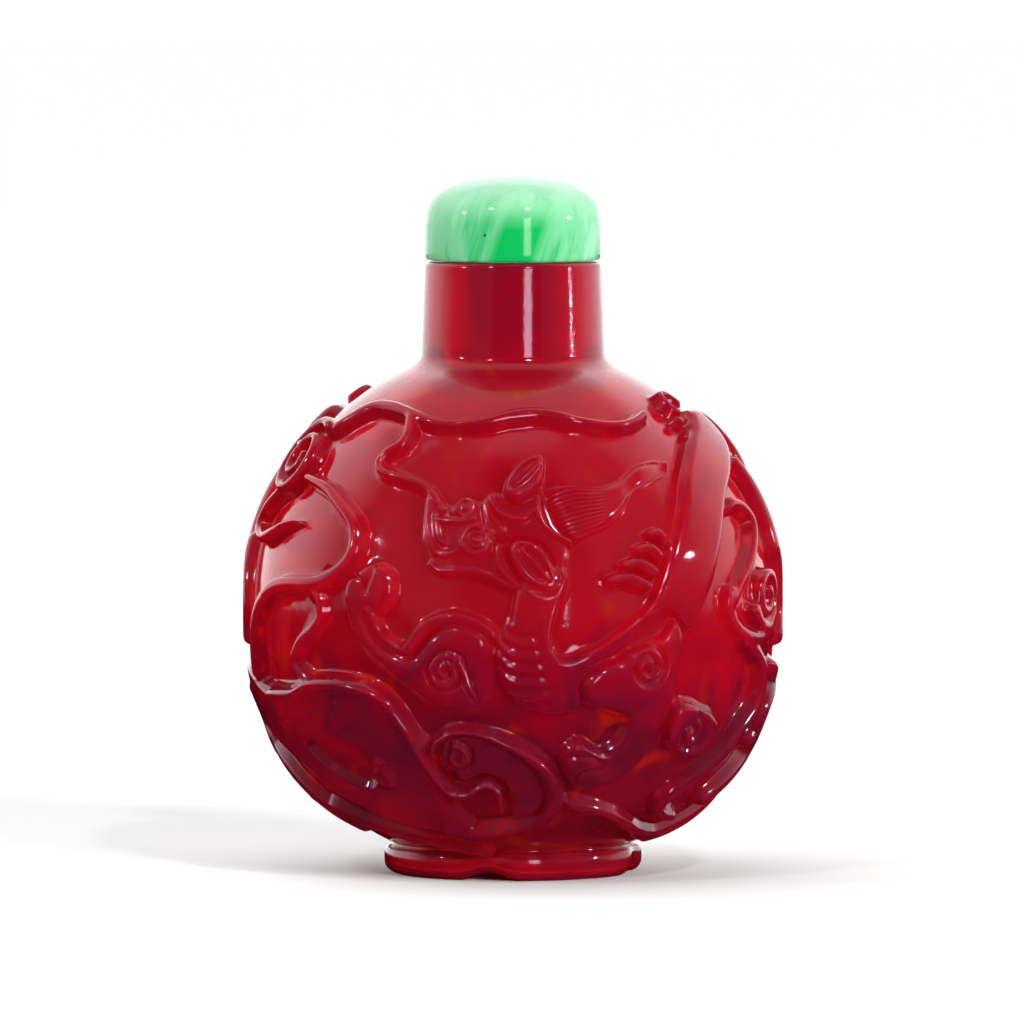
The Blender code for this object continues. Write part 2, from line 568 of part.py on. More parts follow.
def material(name, colour, roughness, transmission=0.0, ior=1.5):
    """A plain material with the piece's colour and shine."""
    made = bpy.data.materials.new(name)
    made.use_nodes = True
    shader = made.node_tree.nodes["Principled BSDF"]
    shader.inputs["Base Color"].default_value = (*colour, 1.0)
    shader.inputs["Metallic"].default_value = 0.0
    shader.inputs["Roughness"].default_value = roughness
    shader.inputs["Transmission Weight"].default_value = transmission
    shader.inputs["IOR"].default_value = ior
    made.diffuse_color = (*colour, 1.0)
    return made


def azimuths(columns):
    """Evenly spaced degrees round a piece, from the back by the left to the front and on."""
    return -180 + 360 * np.arange(columns) / columns


def make_bottle():
    """The hollow carved bottle."""
    azimuth = azimuths(COLUMNS)
    rows = foot_rows(azimuth) + body_rows(azimuth)
    rows += ring_rows(mouth_profile() + cavity_profile(), azimuth)
    bottle = lathe("bottle", rows, azimuth, FOOT_RECESS, CAVITY_FLOOR)
    reduce = bottle.modifiers.new("fewer faces", "DECIMATE")
    bottle.data.calc_loop_triangles()
    reduce.ratio = BOTTLE_TRIANGLES / len(bottle.data.loop_triangles)
    bottle.data.materials.append(material("ruby glass", (0.36, 0.004, 0.012), 0.08, 0.6))
    return bottle


def make_stopper():
    """The domed cap that rests on the lip."""
    azimuth = azimuths(CAP_COLUMNS)
    profile, bottom, top = cap_profile()
    stopper = lathe("stopper", ring_rows(profile, azimuth), azimuth, bottom, top)
    stopper.data.materials.append(material("green glass", (0.13, 0.62, 0.26), 0.15))
    return stopper


def make_cork():
    """The cork plug that holds the cap in the bore."""
    azimuth = azimuths(CORK_COLUMNS)
    profile, bottom, top = cork_profile()
    cork = lathe("stopper_cork", ring_rows(profile, azimuth), azimuth, bottom, top)
    cork.data.materials.append(material("cork", (0.42, 0.27, 0.14), 0.85))
    return cork


def main():
    """Clear the scene and build the three pieces."""
    for old in list(bpy.data.objects):
        bpy.data.objects.remove(old)
    make_bottle()
    make_stopper()
    make_cork()


main()
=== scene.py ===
"""The looks of a carved red glass snuff bottle with a green glass stopper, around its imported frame."""
import math

import bpy
import numpy as np
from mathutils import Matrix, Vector


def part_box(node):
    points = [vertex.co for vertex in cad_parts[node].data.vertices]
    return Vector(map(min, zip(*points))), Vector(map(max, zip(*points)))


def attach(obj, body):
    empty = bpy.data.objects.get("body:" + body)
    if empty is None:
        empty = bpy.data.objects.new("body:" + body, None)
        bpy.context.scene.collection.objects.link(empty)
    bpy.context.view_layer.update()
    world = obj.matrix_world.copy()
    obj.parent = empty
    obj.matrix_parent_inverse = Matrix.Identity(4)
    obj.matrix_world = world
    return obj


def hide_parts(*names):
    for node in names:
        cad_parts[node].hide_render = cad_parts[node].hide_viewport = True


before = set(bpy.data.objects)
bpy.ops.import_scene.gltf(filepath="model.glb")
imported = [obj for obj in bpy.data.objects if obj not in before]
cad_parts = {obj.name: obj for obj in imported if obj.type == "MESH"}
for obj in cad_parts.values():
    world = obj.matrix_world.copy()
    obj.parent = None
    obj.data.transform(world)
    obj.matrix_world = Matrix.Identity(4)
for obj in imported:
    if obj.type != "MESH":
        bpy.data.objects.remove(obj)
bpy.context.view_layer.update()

BOTTLE_LOW, BOTTLE_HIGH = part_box("bottle")
STOPPER_LOW, STOPPER_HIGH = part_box("stopper")

# Body of the bottle, without its carving
NECK_HEIGHT = 0.0091
LIP_HEIGHT = BOTTLE_HIGH.z
BODY_HEIGHT = LIP_HEIGHT - NECK_HEIGHT
BODY_RADIUS = 0.0232
BELLY_HEIGHT = 0.0242
BODY_START = 0.0006
LOWER_FULLNESS = 2.2

# Neck and mouth
NECK_BASE_RADIUS = 0.00825
NECK_TAPER = 0.0003
NECK_FILLET = 0.0008
LIP_EDGE = 0.0005
BORE_RADIUS = 0.0042
BORE_EDGE = 0.0003
LIP_RADIUS = NECK_BASE_RADIUS - NECK_TAPER

# Hollow
WALL = 0.0032
FLOOR = 0.0032

# Foot
FOOT_RADIUS = 0.0116
FOOT_HEIGHT = 0.0026
FOOT_EDGE = 0.0011
FOOT_RING = 0.0030
FOOT_RECESS = 0.0008
FOOT_GROOVE_DEPTH = 0.0009
FOOT_GROOVE_HEIGHT = 0.0004
LOBES = 4
NOTCH_AZIMUTH = -12.0
NOTCH_HALF_WIDTH = 16.0
NOTCH_DEPTH = 0.0005
NOTCH_RISE = 0.0007

# Worked out from these; a crown is the height from the belly to the top of a curve above it
BODY_CROWN = (BODY_HEIGHT - BELLY_HEIGHT) / math.sqrt(1 - (NECK_BASE_RADIUS / BODY_RADIUS) ** 2)
CAVITY_CROWN = BODY_CROWN - WALL
CAVITY_RADIUS = BODY_RADIUS - WALL
CAVITY_FLOOR = FOOT_RECESS + FLOOR
CARVED_FROM = FOOT_HEIGHT + FOOT_GROOVE_HEIGHT

# Stopper cap
CAP_RADIUS = STOPPER_HIGH.x
CAP_START = STOPPER_LOW.z
CAP_TOP = STOPPER_HIGH.z
CAP_SIDE = 0.0030
CAP_EDGE = 0.0004
CAP_SHOULDER_POWER = 2.7
CAP_CROWN_POWER = 2.2

# The carving is drawn in degrees round the body and in units up it
SHEET_HEIGHT = 45.9
UNIT = BODY_HEIGHT / SHEET_HEIGHT
LINE_STEP = 0.5
ENDLESS = 50.0
SMALL = 1e-9

# Upper and lower edge of the mane from its root to its tip, and the counts of fine strands and folds
MANE_FAN = (((8.3, 35), (12.6, 30.8)), ((14.2, 35.6), (17, 31.3)), ((21.2, 35.5), (22, 32.1)),
            ((26.8, 36), (27, 33.4)), ((34, 37.3), (33, 35.2)), ((43.5, 37.6), (43, 36.5)))
STRANDS = 12
CHEST_FOLDS = 6

# Mesh fineness, closer by FINE_SHARE within the head and mane, in degrees and metres; the columns of
# half a turn are spaced from TURN_SAMPLES places, and the rows from ROW_SAMPLES places each
COLUMNS = 1440
BODY_ROWS = 520
FINE_AZIMUTHS = (-24.0, 46.0)
FINE_HEIGHTS = (0.0255, 0.0385)
FINE_SHARE = 2.2
TURN_SAMPLES = 1801
ROW_SAMPLES = 40
CAVITY_ROWS = 60
BOTTLE_TRIANGLES = 190000
CAP_COLUMNS = 160
CAP_ROWS = 40
EDGE_STEPS = 6
CURL_STEPS = 10
CURL_LEAST_STEPS = 8
SOFTEN_PASSES = 3

# The carving's highest crowns ease off below the reach of the solids
CARVED_EASE = 0.0004
CARVED_SPARE = 0.00002
CARVED_REACH = min(BOTTLE_HIGH.x, BOTTLE_HIGH.y) - CARVED_SPARE

# Ruby glass; its colour is painted shade named by height in metres, clouds blur the heights, and ranges are
# of noise
GLASS_IOR = 1.5
# Painted shade by height: darkest low on the body, where shade falls, and a little darker at the shoulder
RUBY_PAINTED_SHADE_BY_HEIGHT = ((0.001, (0.88, 0.014, 0.055)), (0.004, (0.68, 0.012, 0.055)), (0.012, (0.40, 0.011, 0.056)),
           (0.019, (0.76, 0.007, 0.050)), (0.026, (1.00, 0.012, 0.044)), (0.036, (0.96, 0.008, 0.040)),
           (0.043, (0.84, 0.010, 0.048)), (0.047, (0.84, 0.006, 0.045)))
# Painted sheen: the raised carving is tinted darker and mauve, as the haze of reflection on it looks
RUBY_RAISED_PAINTED_SHEEN = (0.8, 1.2, 1.15)
RAISED_FROM = 0.0003
RAISED_FULL = 0.0010
# Painted glow: orange spots on the ground between the carving, standing in for light gathered in the glass
RUBY_PAINTED_GLOW = (1.0, 0.032, 0.020)
RUBY_CLOUDS = 0.010
RUBY_CLOUD_SCALE = 120
RUBY_CLOUD_RANGE = (0.3, 0.7)
RUBY_PAINTED_GLOW_SCALE = 230
RUBY_PAINTED_GLOW_RANGE = (0.60, 0.72)
RUBY_WEAR_SCALE = 260
RUBY_WEAR_RANGE = (0.4, 0.75)
RUBY_WEAR_FACTOR = 1.5
RUBY_GRAIN_SCALE = 700
RUBY_INSIDE_GRAIN_SCALE = 1500
RUBY_GRAIN_DEPTH = 0.00003
RUBY_CLEARNESS = 0.75
RUBY_ROUGHNESS = 0.08
RUBY_POLISH = 0.4
RUBY_POLISH_ROUGHNESS = 0.035
RUBY_INSIDE_ROUGHNESS = 0.22
RUBY_SHEEN_TINT = (1.0, 0.65, 0.92)
RUBY_CLOUD_REACH = 0.004
RUBY_CLOUD_SPREAD = (1.0, 0.08, 0.1)
RUBY_DEPTH = (0.98, 0.30, 0.05)
RUBY_DENSITY = 2000.0

# Green glass
GREEN_LIGHT = (0.18, 0.55, 0.29)
GREEN_DEEP = (0.05, 0.44, 0.16)
GREEN_PALE = (0.30, 0.68, 0.42)
GREEN_STREAKS = ((0.36, GREEN_DEEP), (0.46, GREEN_LIGHT), (0.56, GREEN_LIGHT), (0.68, GREEN_PALE))
# Painted highlight: the top of the cap is paled towards this colour, as the light from above makes it look
GREEN_PAINTED_TOP_LIGHT = (0.40, 0.66, 0.49)
PAINTED_TOP_LIGHT_DEPTH = 0.0042
# Painted reflection: a dark patch down the middle of the cap, where the glass would show the dark room in
# front
GREEN_PAINTED_DARK_PATCH = (0.004, 0.40, 0.09)
SPECK = (0.02, 0.08, 0.03)
SPECK_SPREAD = 330.0
SPECK_SIZE = 0.028
SPECK_RANGE = (0.50, 0.52)
GREEN_ROUGHNESS = 0.1
GREEN_CLOUDINESS = 0.8
GREEN_CLOUD_SPREAD = (0.3, 1.0, 0.45)
GREEN_CLOUD_REACH = 0.0015
STREAK_TILT = math.radians(18)
STREAK_LENGTH = 9.0
STREAK_SCALE = 420
STREAK_DEPTH = 0.00002
# Place and size of the painted dark patch on the cap
DARK_PATCH_LEFT = -0.0015
DARK_PATCH_RIGHT = 0.0014
DARK_PATCH_HEIGHT = 0.0038
DARK_PATCH_EDGE = 0.0011
CAP_DROP = 0.00022

# Cork
CORK_SHADES = ((0.4, (0.22, 0.12, 0.06)), (0.55, (0.50, 0.33, 0.18)))
CORK_ROUGHNESS = 0.85
PORE_SCALE = 1800
PORE_DEPTH = 0.0001

# Studio, in metres; levels are brightness against white, and angles run from behind the bottle
FLOOR_SIZE = 12.0
FLOOR_WHITE = 0.94
LEVEL_BACK = 1.6
LEVEL_LEFT = 1.2
LEVEL_RIGHT = 0.85
LEVEL_DIM = 0.12
LEVEL_DARK = 0.01
LEVEL_TOP = 0.5
BACK_TO = math.radians(36)
BACK_FADED = math.radians(52)
TOP_FROM = math.radians(69)
TOP_FULL = math.radians(80)
AROUND = ((-180, LEVEL_DARK), (-158, LEVEL_DARK), (-150, LEVEL_DIM), (-98, LEVEL_DIM), (-70, LEVEL_LEFT),
          (0, LEVEL_BACK), (70, LEVEL_RIGHT), (96, LEVEL_DIM), (139, LEVEL_DIM), (144, LEVEL_DARK),
          (180, LEVEL_DARK))
DARK_BELOW = -0.06
LIT_ABOVE = -0.02
LIGHT_DISTANCE = 0.85

# Even lights for the shadow and the cloudy glass: degrees right of the camera's side and up, spread, strength
EVEN_LIGHTS = (("key", 38, 18, 18, 2.6), ("overhead", -70, 62, 80, 1.15))

# Lights that are seen in the glass: degrees right of the camera's side and up, width, height, power
SEEN_LIGHTS = (("strip", 19, 5, 0.14, 0.25, 0.7), ("lamp", 23, 41, 0.05, 0.05, 1.2),
               ("left_lamp", -34, 40, 0.04, 0.04, 0.7), ("right_lamp", 80, 10, 0.05, 0.05, 0.8),
               ("low_lamp", -70, 22, 0.04, 0.04, 0.7))

# Camera
SENSOR = 36.0
IMAGE_SIZE = 1024
CAMERA_PLACE = (0.0, -1.0, 0.087)
CAMERA_AIM = (0.0, 0.0, 0.0324)
MM_PER_PIXEL = 0.09
CAMERA_SHIFT_PIXELS = 1.0
CAMERA_RANGE = (0.01, 20.0)
LENS = (Vector(CAMERA_AIM) - Vector(CAMERA_PLACE)).length * 1000 / MM_PER_PIXEL * SENSOR / IMAGE_SIZE


# Profiles

def belly_profile(height, radius, bottom, top_reach):
    """Radius of a belly that closes at its bottom and narrows evenly above its widest place."""
    lower = np.clip((BELLY_HEIGHT - height) / (BELLY_HEIGHT - bottom), 0, 1)
    upper = np.clip((height - BELLY_HEIGHT) / top_reach, 0, 1)
    below = (1 - lower ** LOWER_FULLNESS) ** (1 / LOWER_FULLNESS)
    above = np.sqrt(1 - upper ** 2)
    return radius * np.where(height < BELLY_HEIGHT, below, above)


def body_radius(height):
    """Radius of the uncarved body at a height."""
    return belly_profile(np.asarray(height, float), BODY_RADIUS, BODY_START, BODY_CROWN)


def arc(centre_radius, centre_height, size, start, end):
    """Points of a rounded edge, turned by degrees from outwards."""
    angles = np.radians(np.linspace(start, end, EDGE_STEPS + 1))
    return [(centre_radius + size * math.cos(a), centre_height + size * math.sin(a)) for a in angles]


def bend(first, corner, last):
    """Points of a soft bend from one place to another round a corner."""
    points = []
    for t in np.linspace(0, 1, EDGE_STEPS + 2):
        points.append(tuple((1 - t) ** 2 * first[i] + 2 * t * (1 - t) * corner[i] + t ** 2 * last[i]
                            for i in range(2)))
    return points


def foot_profile():
    """The underside and the outside of the foot, from its middle out."""
    ring_inside = FOOT_RADIUS - FOOT_RING
    flat_end = FOOT_RADIUS - FOOT_EDGE
    groove = FOOT_RADIUS - FOOT_GROOVE_DEPTH
    points = [(ring_inside / 2, FOOT_RECESS), (ring_inside - FOOT_RECESS, FOOT_RECESS), (ring_inside, 0.0)]
    points += arc(flat_end, FOOT_EDGE, FOOT_EDGE, -90, 0)
    points += bend((FOOT_RADIUS, FOOT_HEIGHT - FOOT_GROOVE_DEPTH), (FOOT_RADIUS, FOOT_HEIGHT),
                   (groove, FOOT_HEIGHT))
    return points


def body_heights():
    """Heights of the body's rows, spaced along its outline and closer at the head and mane."""
    fine = np.linspace(CARVED_FROM, BODY_HEIGHT - NECK_FILLET, ROW_SAMPLES * BODY_ROWS)
    radius = body_radius(fine)
    steps = np.hypot(np.diff(fine), np.diff(radius))
    steps *= np.where((fine[1:] > FINE_HEIGHTS[0]) & (fine[1:] < FINE_HEIGHTS[1]), FINE_SHARE, 1)
    along = np.concatenate([[0], np.cumsum(steps)])
    return np.interp(np.linspace(0, along[-1], BODY_ROWS), along, fine)


def mouth_profile():
    """The neck, its lip and the bore, from the shoulder up and in."""
    shoulder = BODY_HEIGHT - NECK_FILLET
    points = bend((float(body_radius(shoulder)), shoulder), (NECK_BASE_RADIUS, BODY_HEIGHT),
                  (NECK_BASE_RADIUS, BODY_HEIGHT + NECK_FILLET))[1:]
    points += arc(LIP_RADIUS - LIP_EDGE, LIP_HEIGHT - LIP_EDGE, LIP_EDGE, 0, 90)
    points += arc(BORE_RADIUS + BORE_EDGE, LIP_HEIGHT - BORE_EDGE, BORE_EDGE, 90, 180)
    return points


def cavity_profile():
    """The hollow, from the foot of the bore down to the middle of its floor."""
    start = math.acos(BORE_RADIUS / CAVITY_RADIUS)
    points = []
    for turn in np.linspace(start, -math.pi / 2, CAVITY_ROWS):
        reach = CAVITY_CROWN if turn > 0 else BELLY_HEIGHT - CAVITY_FLOOR
        height = BELLY_HEIGHT + reach * math.sin(turn)
        radius = belly_profile(np.float64(height), CAVITY_RADIUS, CAVITY_FLOOR, CAVITY_CROWN)
        points.append((float(radius), height))
    return points[:-1]


def cap_profile():
    """The stopper's cap, from its lower edge to its crown; the edge comes down to the lip."""
    side = CAP_START + CAP_SIDE
    edge = arc(CAP_RADIUS - CAP_EDGE, CAP_START + CAP_EDGE, CAP_EDGE, -90, 0)
    points = [(r, max(z - CAP_DROP, LIP_HEIGHT)) for r, z in edge[:-1]] + edge[-1:]
    for i in range(CAP_ROWS):
        t = math.sin(math.pi / 2 * i / CAP_ROWS)
        radius = CAP_RADIUS * (1 - t ** CAP_SHOULDER_POWER) ** (1 / CAP_CROWN_POWER)
        points.append((radius, side + t * (CAP_TOP - side)))
    return points


# The drawing of the relief

def on_ground(azimuth, height):
    """Points of the uncarved body, for degrees from the front and units up."""
    turn = np.radians(azimuth)
    radius = body_radius(np.asarray(height) * UNIT) / UNIT
    return np.stack([radius * np.sin(turn), -radius * np.cos(turn), height + 0 * radius], axis=-1)


def smooth_line(points, closed=False):
    """A smooth curve through given points of the sheet."""
    points = np.array(points, float)
    count = len(points)
    line = []
    for i in range(count if closed else count - 1):
        if closed:
            a, b, c, d = (points[(i + k) % count] for k in (-1, 0, 1, 2))
        else:
            a, b, c, d = (points[min(max(i + k, 0), count - 1)] for k in (-1, 0, 1, 2))
        reach = np.linalg.norm(on_ground(*c) - on_ground(*b))
        steps = max(2, math.ceil(reach / LINE_STEP))
        t = np.linspace(0, 1, steps, endpoint=False)[:, None]
        line.append(0.5 * (2 * b + (c - a) * t + (2 * a - 5 * b + 4 * c - d) * t ** 2
                           + (3 * b - a - 3 * c + d) * t ** 3))
    line.append(points[:1] if closed else points[-1:])
    return np.vstack(line)


def between(first, second, share):
    """The place a share of the way from one point to another."""
    return tuple(a + share * (b - a) for a, b in zip(first, second))


def spiral(centre, radius, turns, start, inner=0.25):
    """Sheet points of a curl that winds in from its radius; turns below 0 wind clockwise."""
    steps = max(CURL_LEAST_STEPS, math.ceil(abs(turns) * CURL_STEPS))
    share = np.linspace(0, 1, steps + 1)
    angle = np.radians(start + 360 * turns * share)
    reach = radius * (1 - (1 - inner) * share)
    ground = body_radius(centre[1] * UNIT) / UNIT
    azimuth = centre[0] + np.degrees(reach * np.cos(angle) / ground)
    return list(zip(azimuth, centre[1] + reach * np.sin(angle)))


class Carving:
    """The relief at the points of a surface, built up form by form, in units."""

    def __init__(self, azimuth, height):
        self.azimuth = azimuth
        self.height = height
        self.points = on_ground(azimuth, height)
        self.relief = np.zeros(azimuth.shape)

    def near(self, line, reach):
        """The points about a line, with their distance from it and their share along it."""
        turn_reach = np.degrees(reach * UNIT / body_radius(line[:, 1] * UNIT))
        found = ((self.azimuth > (line[:, 0] - turn_reach).min())
                 & (self.azimuth < (line[:, 0] + turn_reach).max())
                 & (self.height > line[:, 1].min() - reach)
                 & (self.height < line[:, 1].max() + reach))
        index = np.nonzero(found)[0]
        points = self.points[index]
        distance = np.full(len(index), ENDLESS)
        share = np.zeros(len(index))
        knots = on_ground(line[:, 0], line[:, 1])
        lengths = np.linalg.norm(np.diff(knots, axis=0), axis=1)
        before = np.concatenate([[0], np.cumsum(lengths)])
        for i, length in enumerate(lengths):
            along = knots[i + 1] - knots[i]
            t = np.clip((points - knots[i]) @ along / max(length ** 2, SMALL), 0, 1)
            gap = np.linalg.norm(points - knots[i] - t[:, None] * along, axis=1)
            closer = gap < distance
            distance[closer] = gap[closer]
            share[closer] = (before[i] + t[closer] * length) / max(before[-1], SMALL)
        return index, distance, share

    def lay(self, index, inside, edge, height, moat):
        """Raise a form to a height, with a rounded edge, and cut a moat round it."""
        rise = np.clip(inside / edge, 0, 1)
        form = height * np.sqrt(1 - (1 - rise) ** 2)
        if moat:
            keep = np.clip(-inside / moat, 0, 1)
            self.relief[index] *= np.where(inside > 0, 1.0, keep)
        self.relief[index] = np.maximum(self.relief[index], form)

    def band(self, points, widths, height, moat=0.0):
        """A raised band along a curve; widths are half-widths spread along it."""
        line = smooth_line(points)
        widths = np.atleast_1d(np.array(widths, float))
        index, distance, share = self.near(line, widths.max() + moat)
        width = np.interp(share, np.linspace(0, 1, len(widths)), widths)
        self.lay(index, width - distance, width, height, moat)

    def outline(self, points, margin):
        """The points about a closed outline, with how far inside it they lie."""
        line = smooth_line(points, closed=True)
        index, distance, _ = self.near(line, margin)
        x = self.azimuth[index]
        y = self.height[index]
        inside = np.zeros(len(index), bool)
        for (xa, ya), (xb, yb) in zip(line[:-1], line[1:]):
            if ya != yb:
                inside ^= ((ya > y) != (yb > y)) & (x < xa + (y - ya) * (xb - xa) / (yb - ya))
        return index, np.where(inside, distance, -distance)

    def patch(self, points, height, edge, moat=0.0):
        """A raised area inside a smooth closed outline."""
        index, inside = self.outline(points, moat + LINE_STEP)
        self.lay(index, inside, edge, height, moat)

    def window(self, points, floor, edge):
        """A sunk area inside a smooth closed outline, cut down to a floor."""
        index, inside = self.outline(points, LINE_STEP)
        share = np.clip(inside / edge, 0, 1)
        drop = np.maximum(self.relief[index] - floor, 0)
        self.relief[index] -= drop * np.sqrt(1 - (1 - share) ** 2)

    def groove(self, points, width, depth):
        """A cut along a curve, with its half-width and depth."""
        index, distance, _ = self.near(smooth_line(points), width)
        self.relief[index] -= depth * (1 - np.clip(distance / width, 0, 1) ** 2)

    def ridge(self, points, width, height):
        """A raised line on top of what is there, with its half-width."""
        index, distance, _ = self.near(smooth_line(points), width)
        self.relief[index] += height * np.sqrt(1 - np.clip(distance / width, 0, 1) ** 2)

    def knob(self, centre, radius, height):
        """A small dome on top of what is there."""
        self.ridge([centre, centre], radius, height)

    def ring(self, centre, radius, width, height):
        """A raised ring on top of what is there."""
        self.ridge(spiral(centre, radius, 1, 0, inner=1), width, height)


# The motifs of one face, each in degrees from the front and units up

def whiskers(c):
    """The long whisker under the shoulder, and the strand that drops from it to the muzzle."""
    c.band([(-62, 39.9), (-53, 41.6), (-44, 41.8), (-34, 41.3), (-22, 40.5), (-10, 40.6), (0, 41.3),
            (10, 41.4), (20, 40.7), (30, 40.3), (38, 40.5), (44.5, 41.1)],
           (0.75, 0.9, 0.9, 0.75, 0.6, 0.65, 0.95, 0.85, 0.65, 0.65, 0.6), 1.3)
    c.band([(-33, 41), (-31, 39.7), (-31.7, 38.8), (-35, 38.1), (-36.5, 37.2), (-34, 36.4),
            (-27, 35.9), (-21, 35.2), (-18, 34)], (0.75, 0.65, 0.6, 0.6), 1.3)


def head(c):
    """The dragon's head in profile: muzzle, jaw, brow and two leaf ears."""
    c.patch([(-20.8, 34), (-20.9, 32.6), (-19.6, 31), (-18.2, 29.2), (-16, 28.3), (-11, 28), (-5, 27.8),
             (-0.5, 26.8), (3, 26.2), (6, 25.8), (9, 26.2), (11, 28), (12.3, 30.2), (9.6, 31.4),
             (7, 33), (5.6, 35), (0, 34.3), (-3, 35), (-5.5, 35), (-7.8, 34.3), (-10.8, 34.6),
             (-13, 34.3), (-15.2, 33.9), (-17.4, 34.5)], 0.9, 0.6)
    c.band([(-19.4, 34.4), (-19.8, 33), (-18.9, 31.3), (-17.2, 30), (-15.4, 29.7), (-13, 29.8),
            (-11, 30.2)], 0.5, 1.3)
    c.band([(-18, 28.9), (-15.8, 28.3), (-12, 28.4), (-8, 28.3), (-4, 27.8), (-0.5, 27)], 0.38, 1.2)
    c.band([(-5.6, 34.6), (-3.6, 33.3), (-0.4, 32.7), (2.6, 32.7), (4.8, 33.3)], (0.3, 0.5, 0.55, 0.4), 1.25)
    c.patch([(-2.3, 35), (-1.2, 36.4), (1.8, 37.4), (5.5, 37.9), (8.1, 37.8), (7.8, 36.5), (6.3, 35.3),
             (3.2, 34.4), (-0.2, 34.1)], 1.6, 0.55, moat=0.3)
    c.patch([(-1.3, 30), (0, 30.9), (3, 31), (6, 30.5), (8.2, 29.3), (9.5, 27.8), (9.2, 26.6),
             (6.3, 26.6), (3, 27.2), (0.4, 28.4)], 1.6, 0.55, moat=0.3)


def mane(c):
    """The swept mane behind the head, and the collar at its root."""
    upper = [pair[0] for pair in MANE_FAN]
    lower = [pair[1] for pair in MANE_FAN]
    c.patch(upper + lower[::-1], 1.15, 0.7)
    c.band([(5.7, 34.4), (6.1, 32.8), (8.2, 31.6), (12.2, 30.7)], 0.42, 1.4, moat=0.2)


def claw(c):
    """The clenched claw in front of the body sweep, four slanting knuckles."""
    for knuckle in range(4):
        outer = (21.3 + 3.6 * knuckle, 27.45 + 1.25 * knuckle)
        inner = (29.8 + 2.0 * knuckle, 26.9 + 1.2 * knuckle)
        crown = ((outer[0] + inner[0]) / 2, (outer[1] + inner[1]) / 2 + 0.45)
        c.band([outer, crown, inner], (0.5, 0.68, 0.62), 1.35, moat=0.12)


def left_limb(c):
    """The left limb, its curled paw and the curl on its haunch."""
    c.patch([(-38.4, 25.5), (-37.6, 23.4), (-34.5, 21.3), (-30, 19.8), (-25, 18.4), (-19, 16.6),
             (-12, 15.8), (-6, 16.6), (-4.5, 19), (-4.6, 22.6), (-8, 23.9), (-12, 24.2), (-15, 23.8),
             (-18.5, 22.7), (-20.7, 21.6), (-22.7, 21.1), (-27, 21.7), (-30, 22.8), (-32, 24.5),
             (-34.5, 25.8)], 1.1, 1.6)
    c.patch([(-38.8, 25.8), (-38, 27.5), (-35.6, 28.2), (-33, 28.8), (-29, 28.8), (-26.2, 27.6),
             (-26.3, 25.8), (-29, 24.5), (-32.4, 24.3), (-36.5, 24)], 1.4, 1.0)
    c.band([(-31.8, 24.7), (-29.5, 22.9), (-26, 21.8), (-23.6, 21.5), (-21.6, 22.3), (-19.6, 23.4),
            (-16.6, 24.1), (-13, 24.4), (-9.6, 24.2), (-6, 23.5), (-3.6, 22.7)],
           (0.45, 0.45, 0.5, 0.52, 0.5), 1.45, moat=0.25)
    c.band(spiral((-14.3, 19.6), 1.55, 1.6, 30), (0.42, 0.36, 0.3), 1.45, moat=0.2)
    c.band([(-10.9, 20.3), (-9.8, 19), (-7.9, 17.2)], (0.4, 0.3, 0.12), 1.45, moat=0.15)


def left_clouds(c):
    """The scrolling cloud on the left, with its curl, arch and hook."""
    c.band(spiral((-70, 37), 3.2, 1.9, 60), (0.8, 0.6), 1.6)
    c.band([(-60, 35.6), (-51, 34.9), (-45.5, 33.9), (-39, 32.2), (-37, 30.4), (-38.5, 28.7),
            (-43.5, 27.3), (-49, 26.8), (-56, 26.7), (-63, 26.2), (-69, 25), (-73, 23.6),
            (-75.5, 21.5), (-75.5, 18.5)], (0.6, 0.95, 0.95, 0.85), 1.4)
    c.band([(-50, 26.6), (-46.5, 25.8), (-45.5, 24.2), (-48, 22.9), (-52, 21.9), (-54.5, 20.6),
            (-54.5, 19.6), (-52, 18.7)], 0.62, 1.2)
    c.band([(-72, 34.2), (-78, 32.8), (-80, 31.2), (-74, 30.3), (-68, 30.8), (-63, 31.5),
            (-58, 31.9)], (0.6, 0.6, 0.8, 0.2), 1.4)


def lower_left(c):
    """The broad haunch at the lower left, rimmed, with a pierced window and a curl."""
    c.patch([(-95, 19), (-84, 19.2), (-73, 17.9), (-65, 17.3), (-57, 17.8), (-50.5, 18.8),
             (-42, 19.1), (-34, 18.8), (-29.5, 18), (-26.5, 17), (-24.5, 15.7), (-22.3, 14.3),
             (-19.5, 13), (-18, 9), (-10, 4.5), (-27, 5.2), (-40, 6), (-47, 6.8), (-52, 7.9),
             (-61, 9.9), (-69, 11.3), (-76, 12.6), (-86, 14.5)], 1.2, 1.0)
    c.band([(-67, 17), (-57, 17.2), (-50, 18.1), (-42, 18.3), (-34, 17.9), (-29, 17),
            (-25.8, 15.4), (-23.4, 13.6), (-21, 11.7), (-18.2, 10), (-14.8, 9), (-11.8, 9.1),
            (-8.6, 9.8), (-5.4, 9.9), (-3, 9.1), (-2.6, 7.8)], (0.6, 0.65, 0.65, 0.55, 0.5), 1.6)
    c.window([(-57, 12.8), (-52, 13.7), (-46, 13.8), (-39.5, 13), (-36, 11.6), (-37, 9.8),
              (-41, 9.4), (-48, 10.3), (-54, 11.6)], 0.35, 0.5)
    c.band(spiral((-33, 10.6), 1.2, 1.0, 90), 0.5, 1.6)


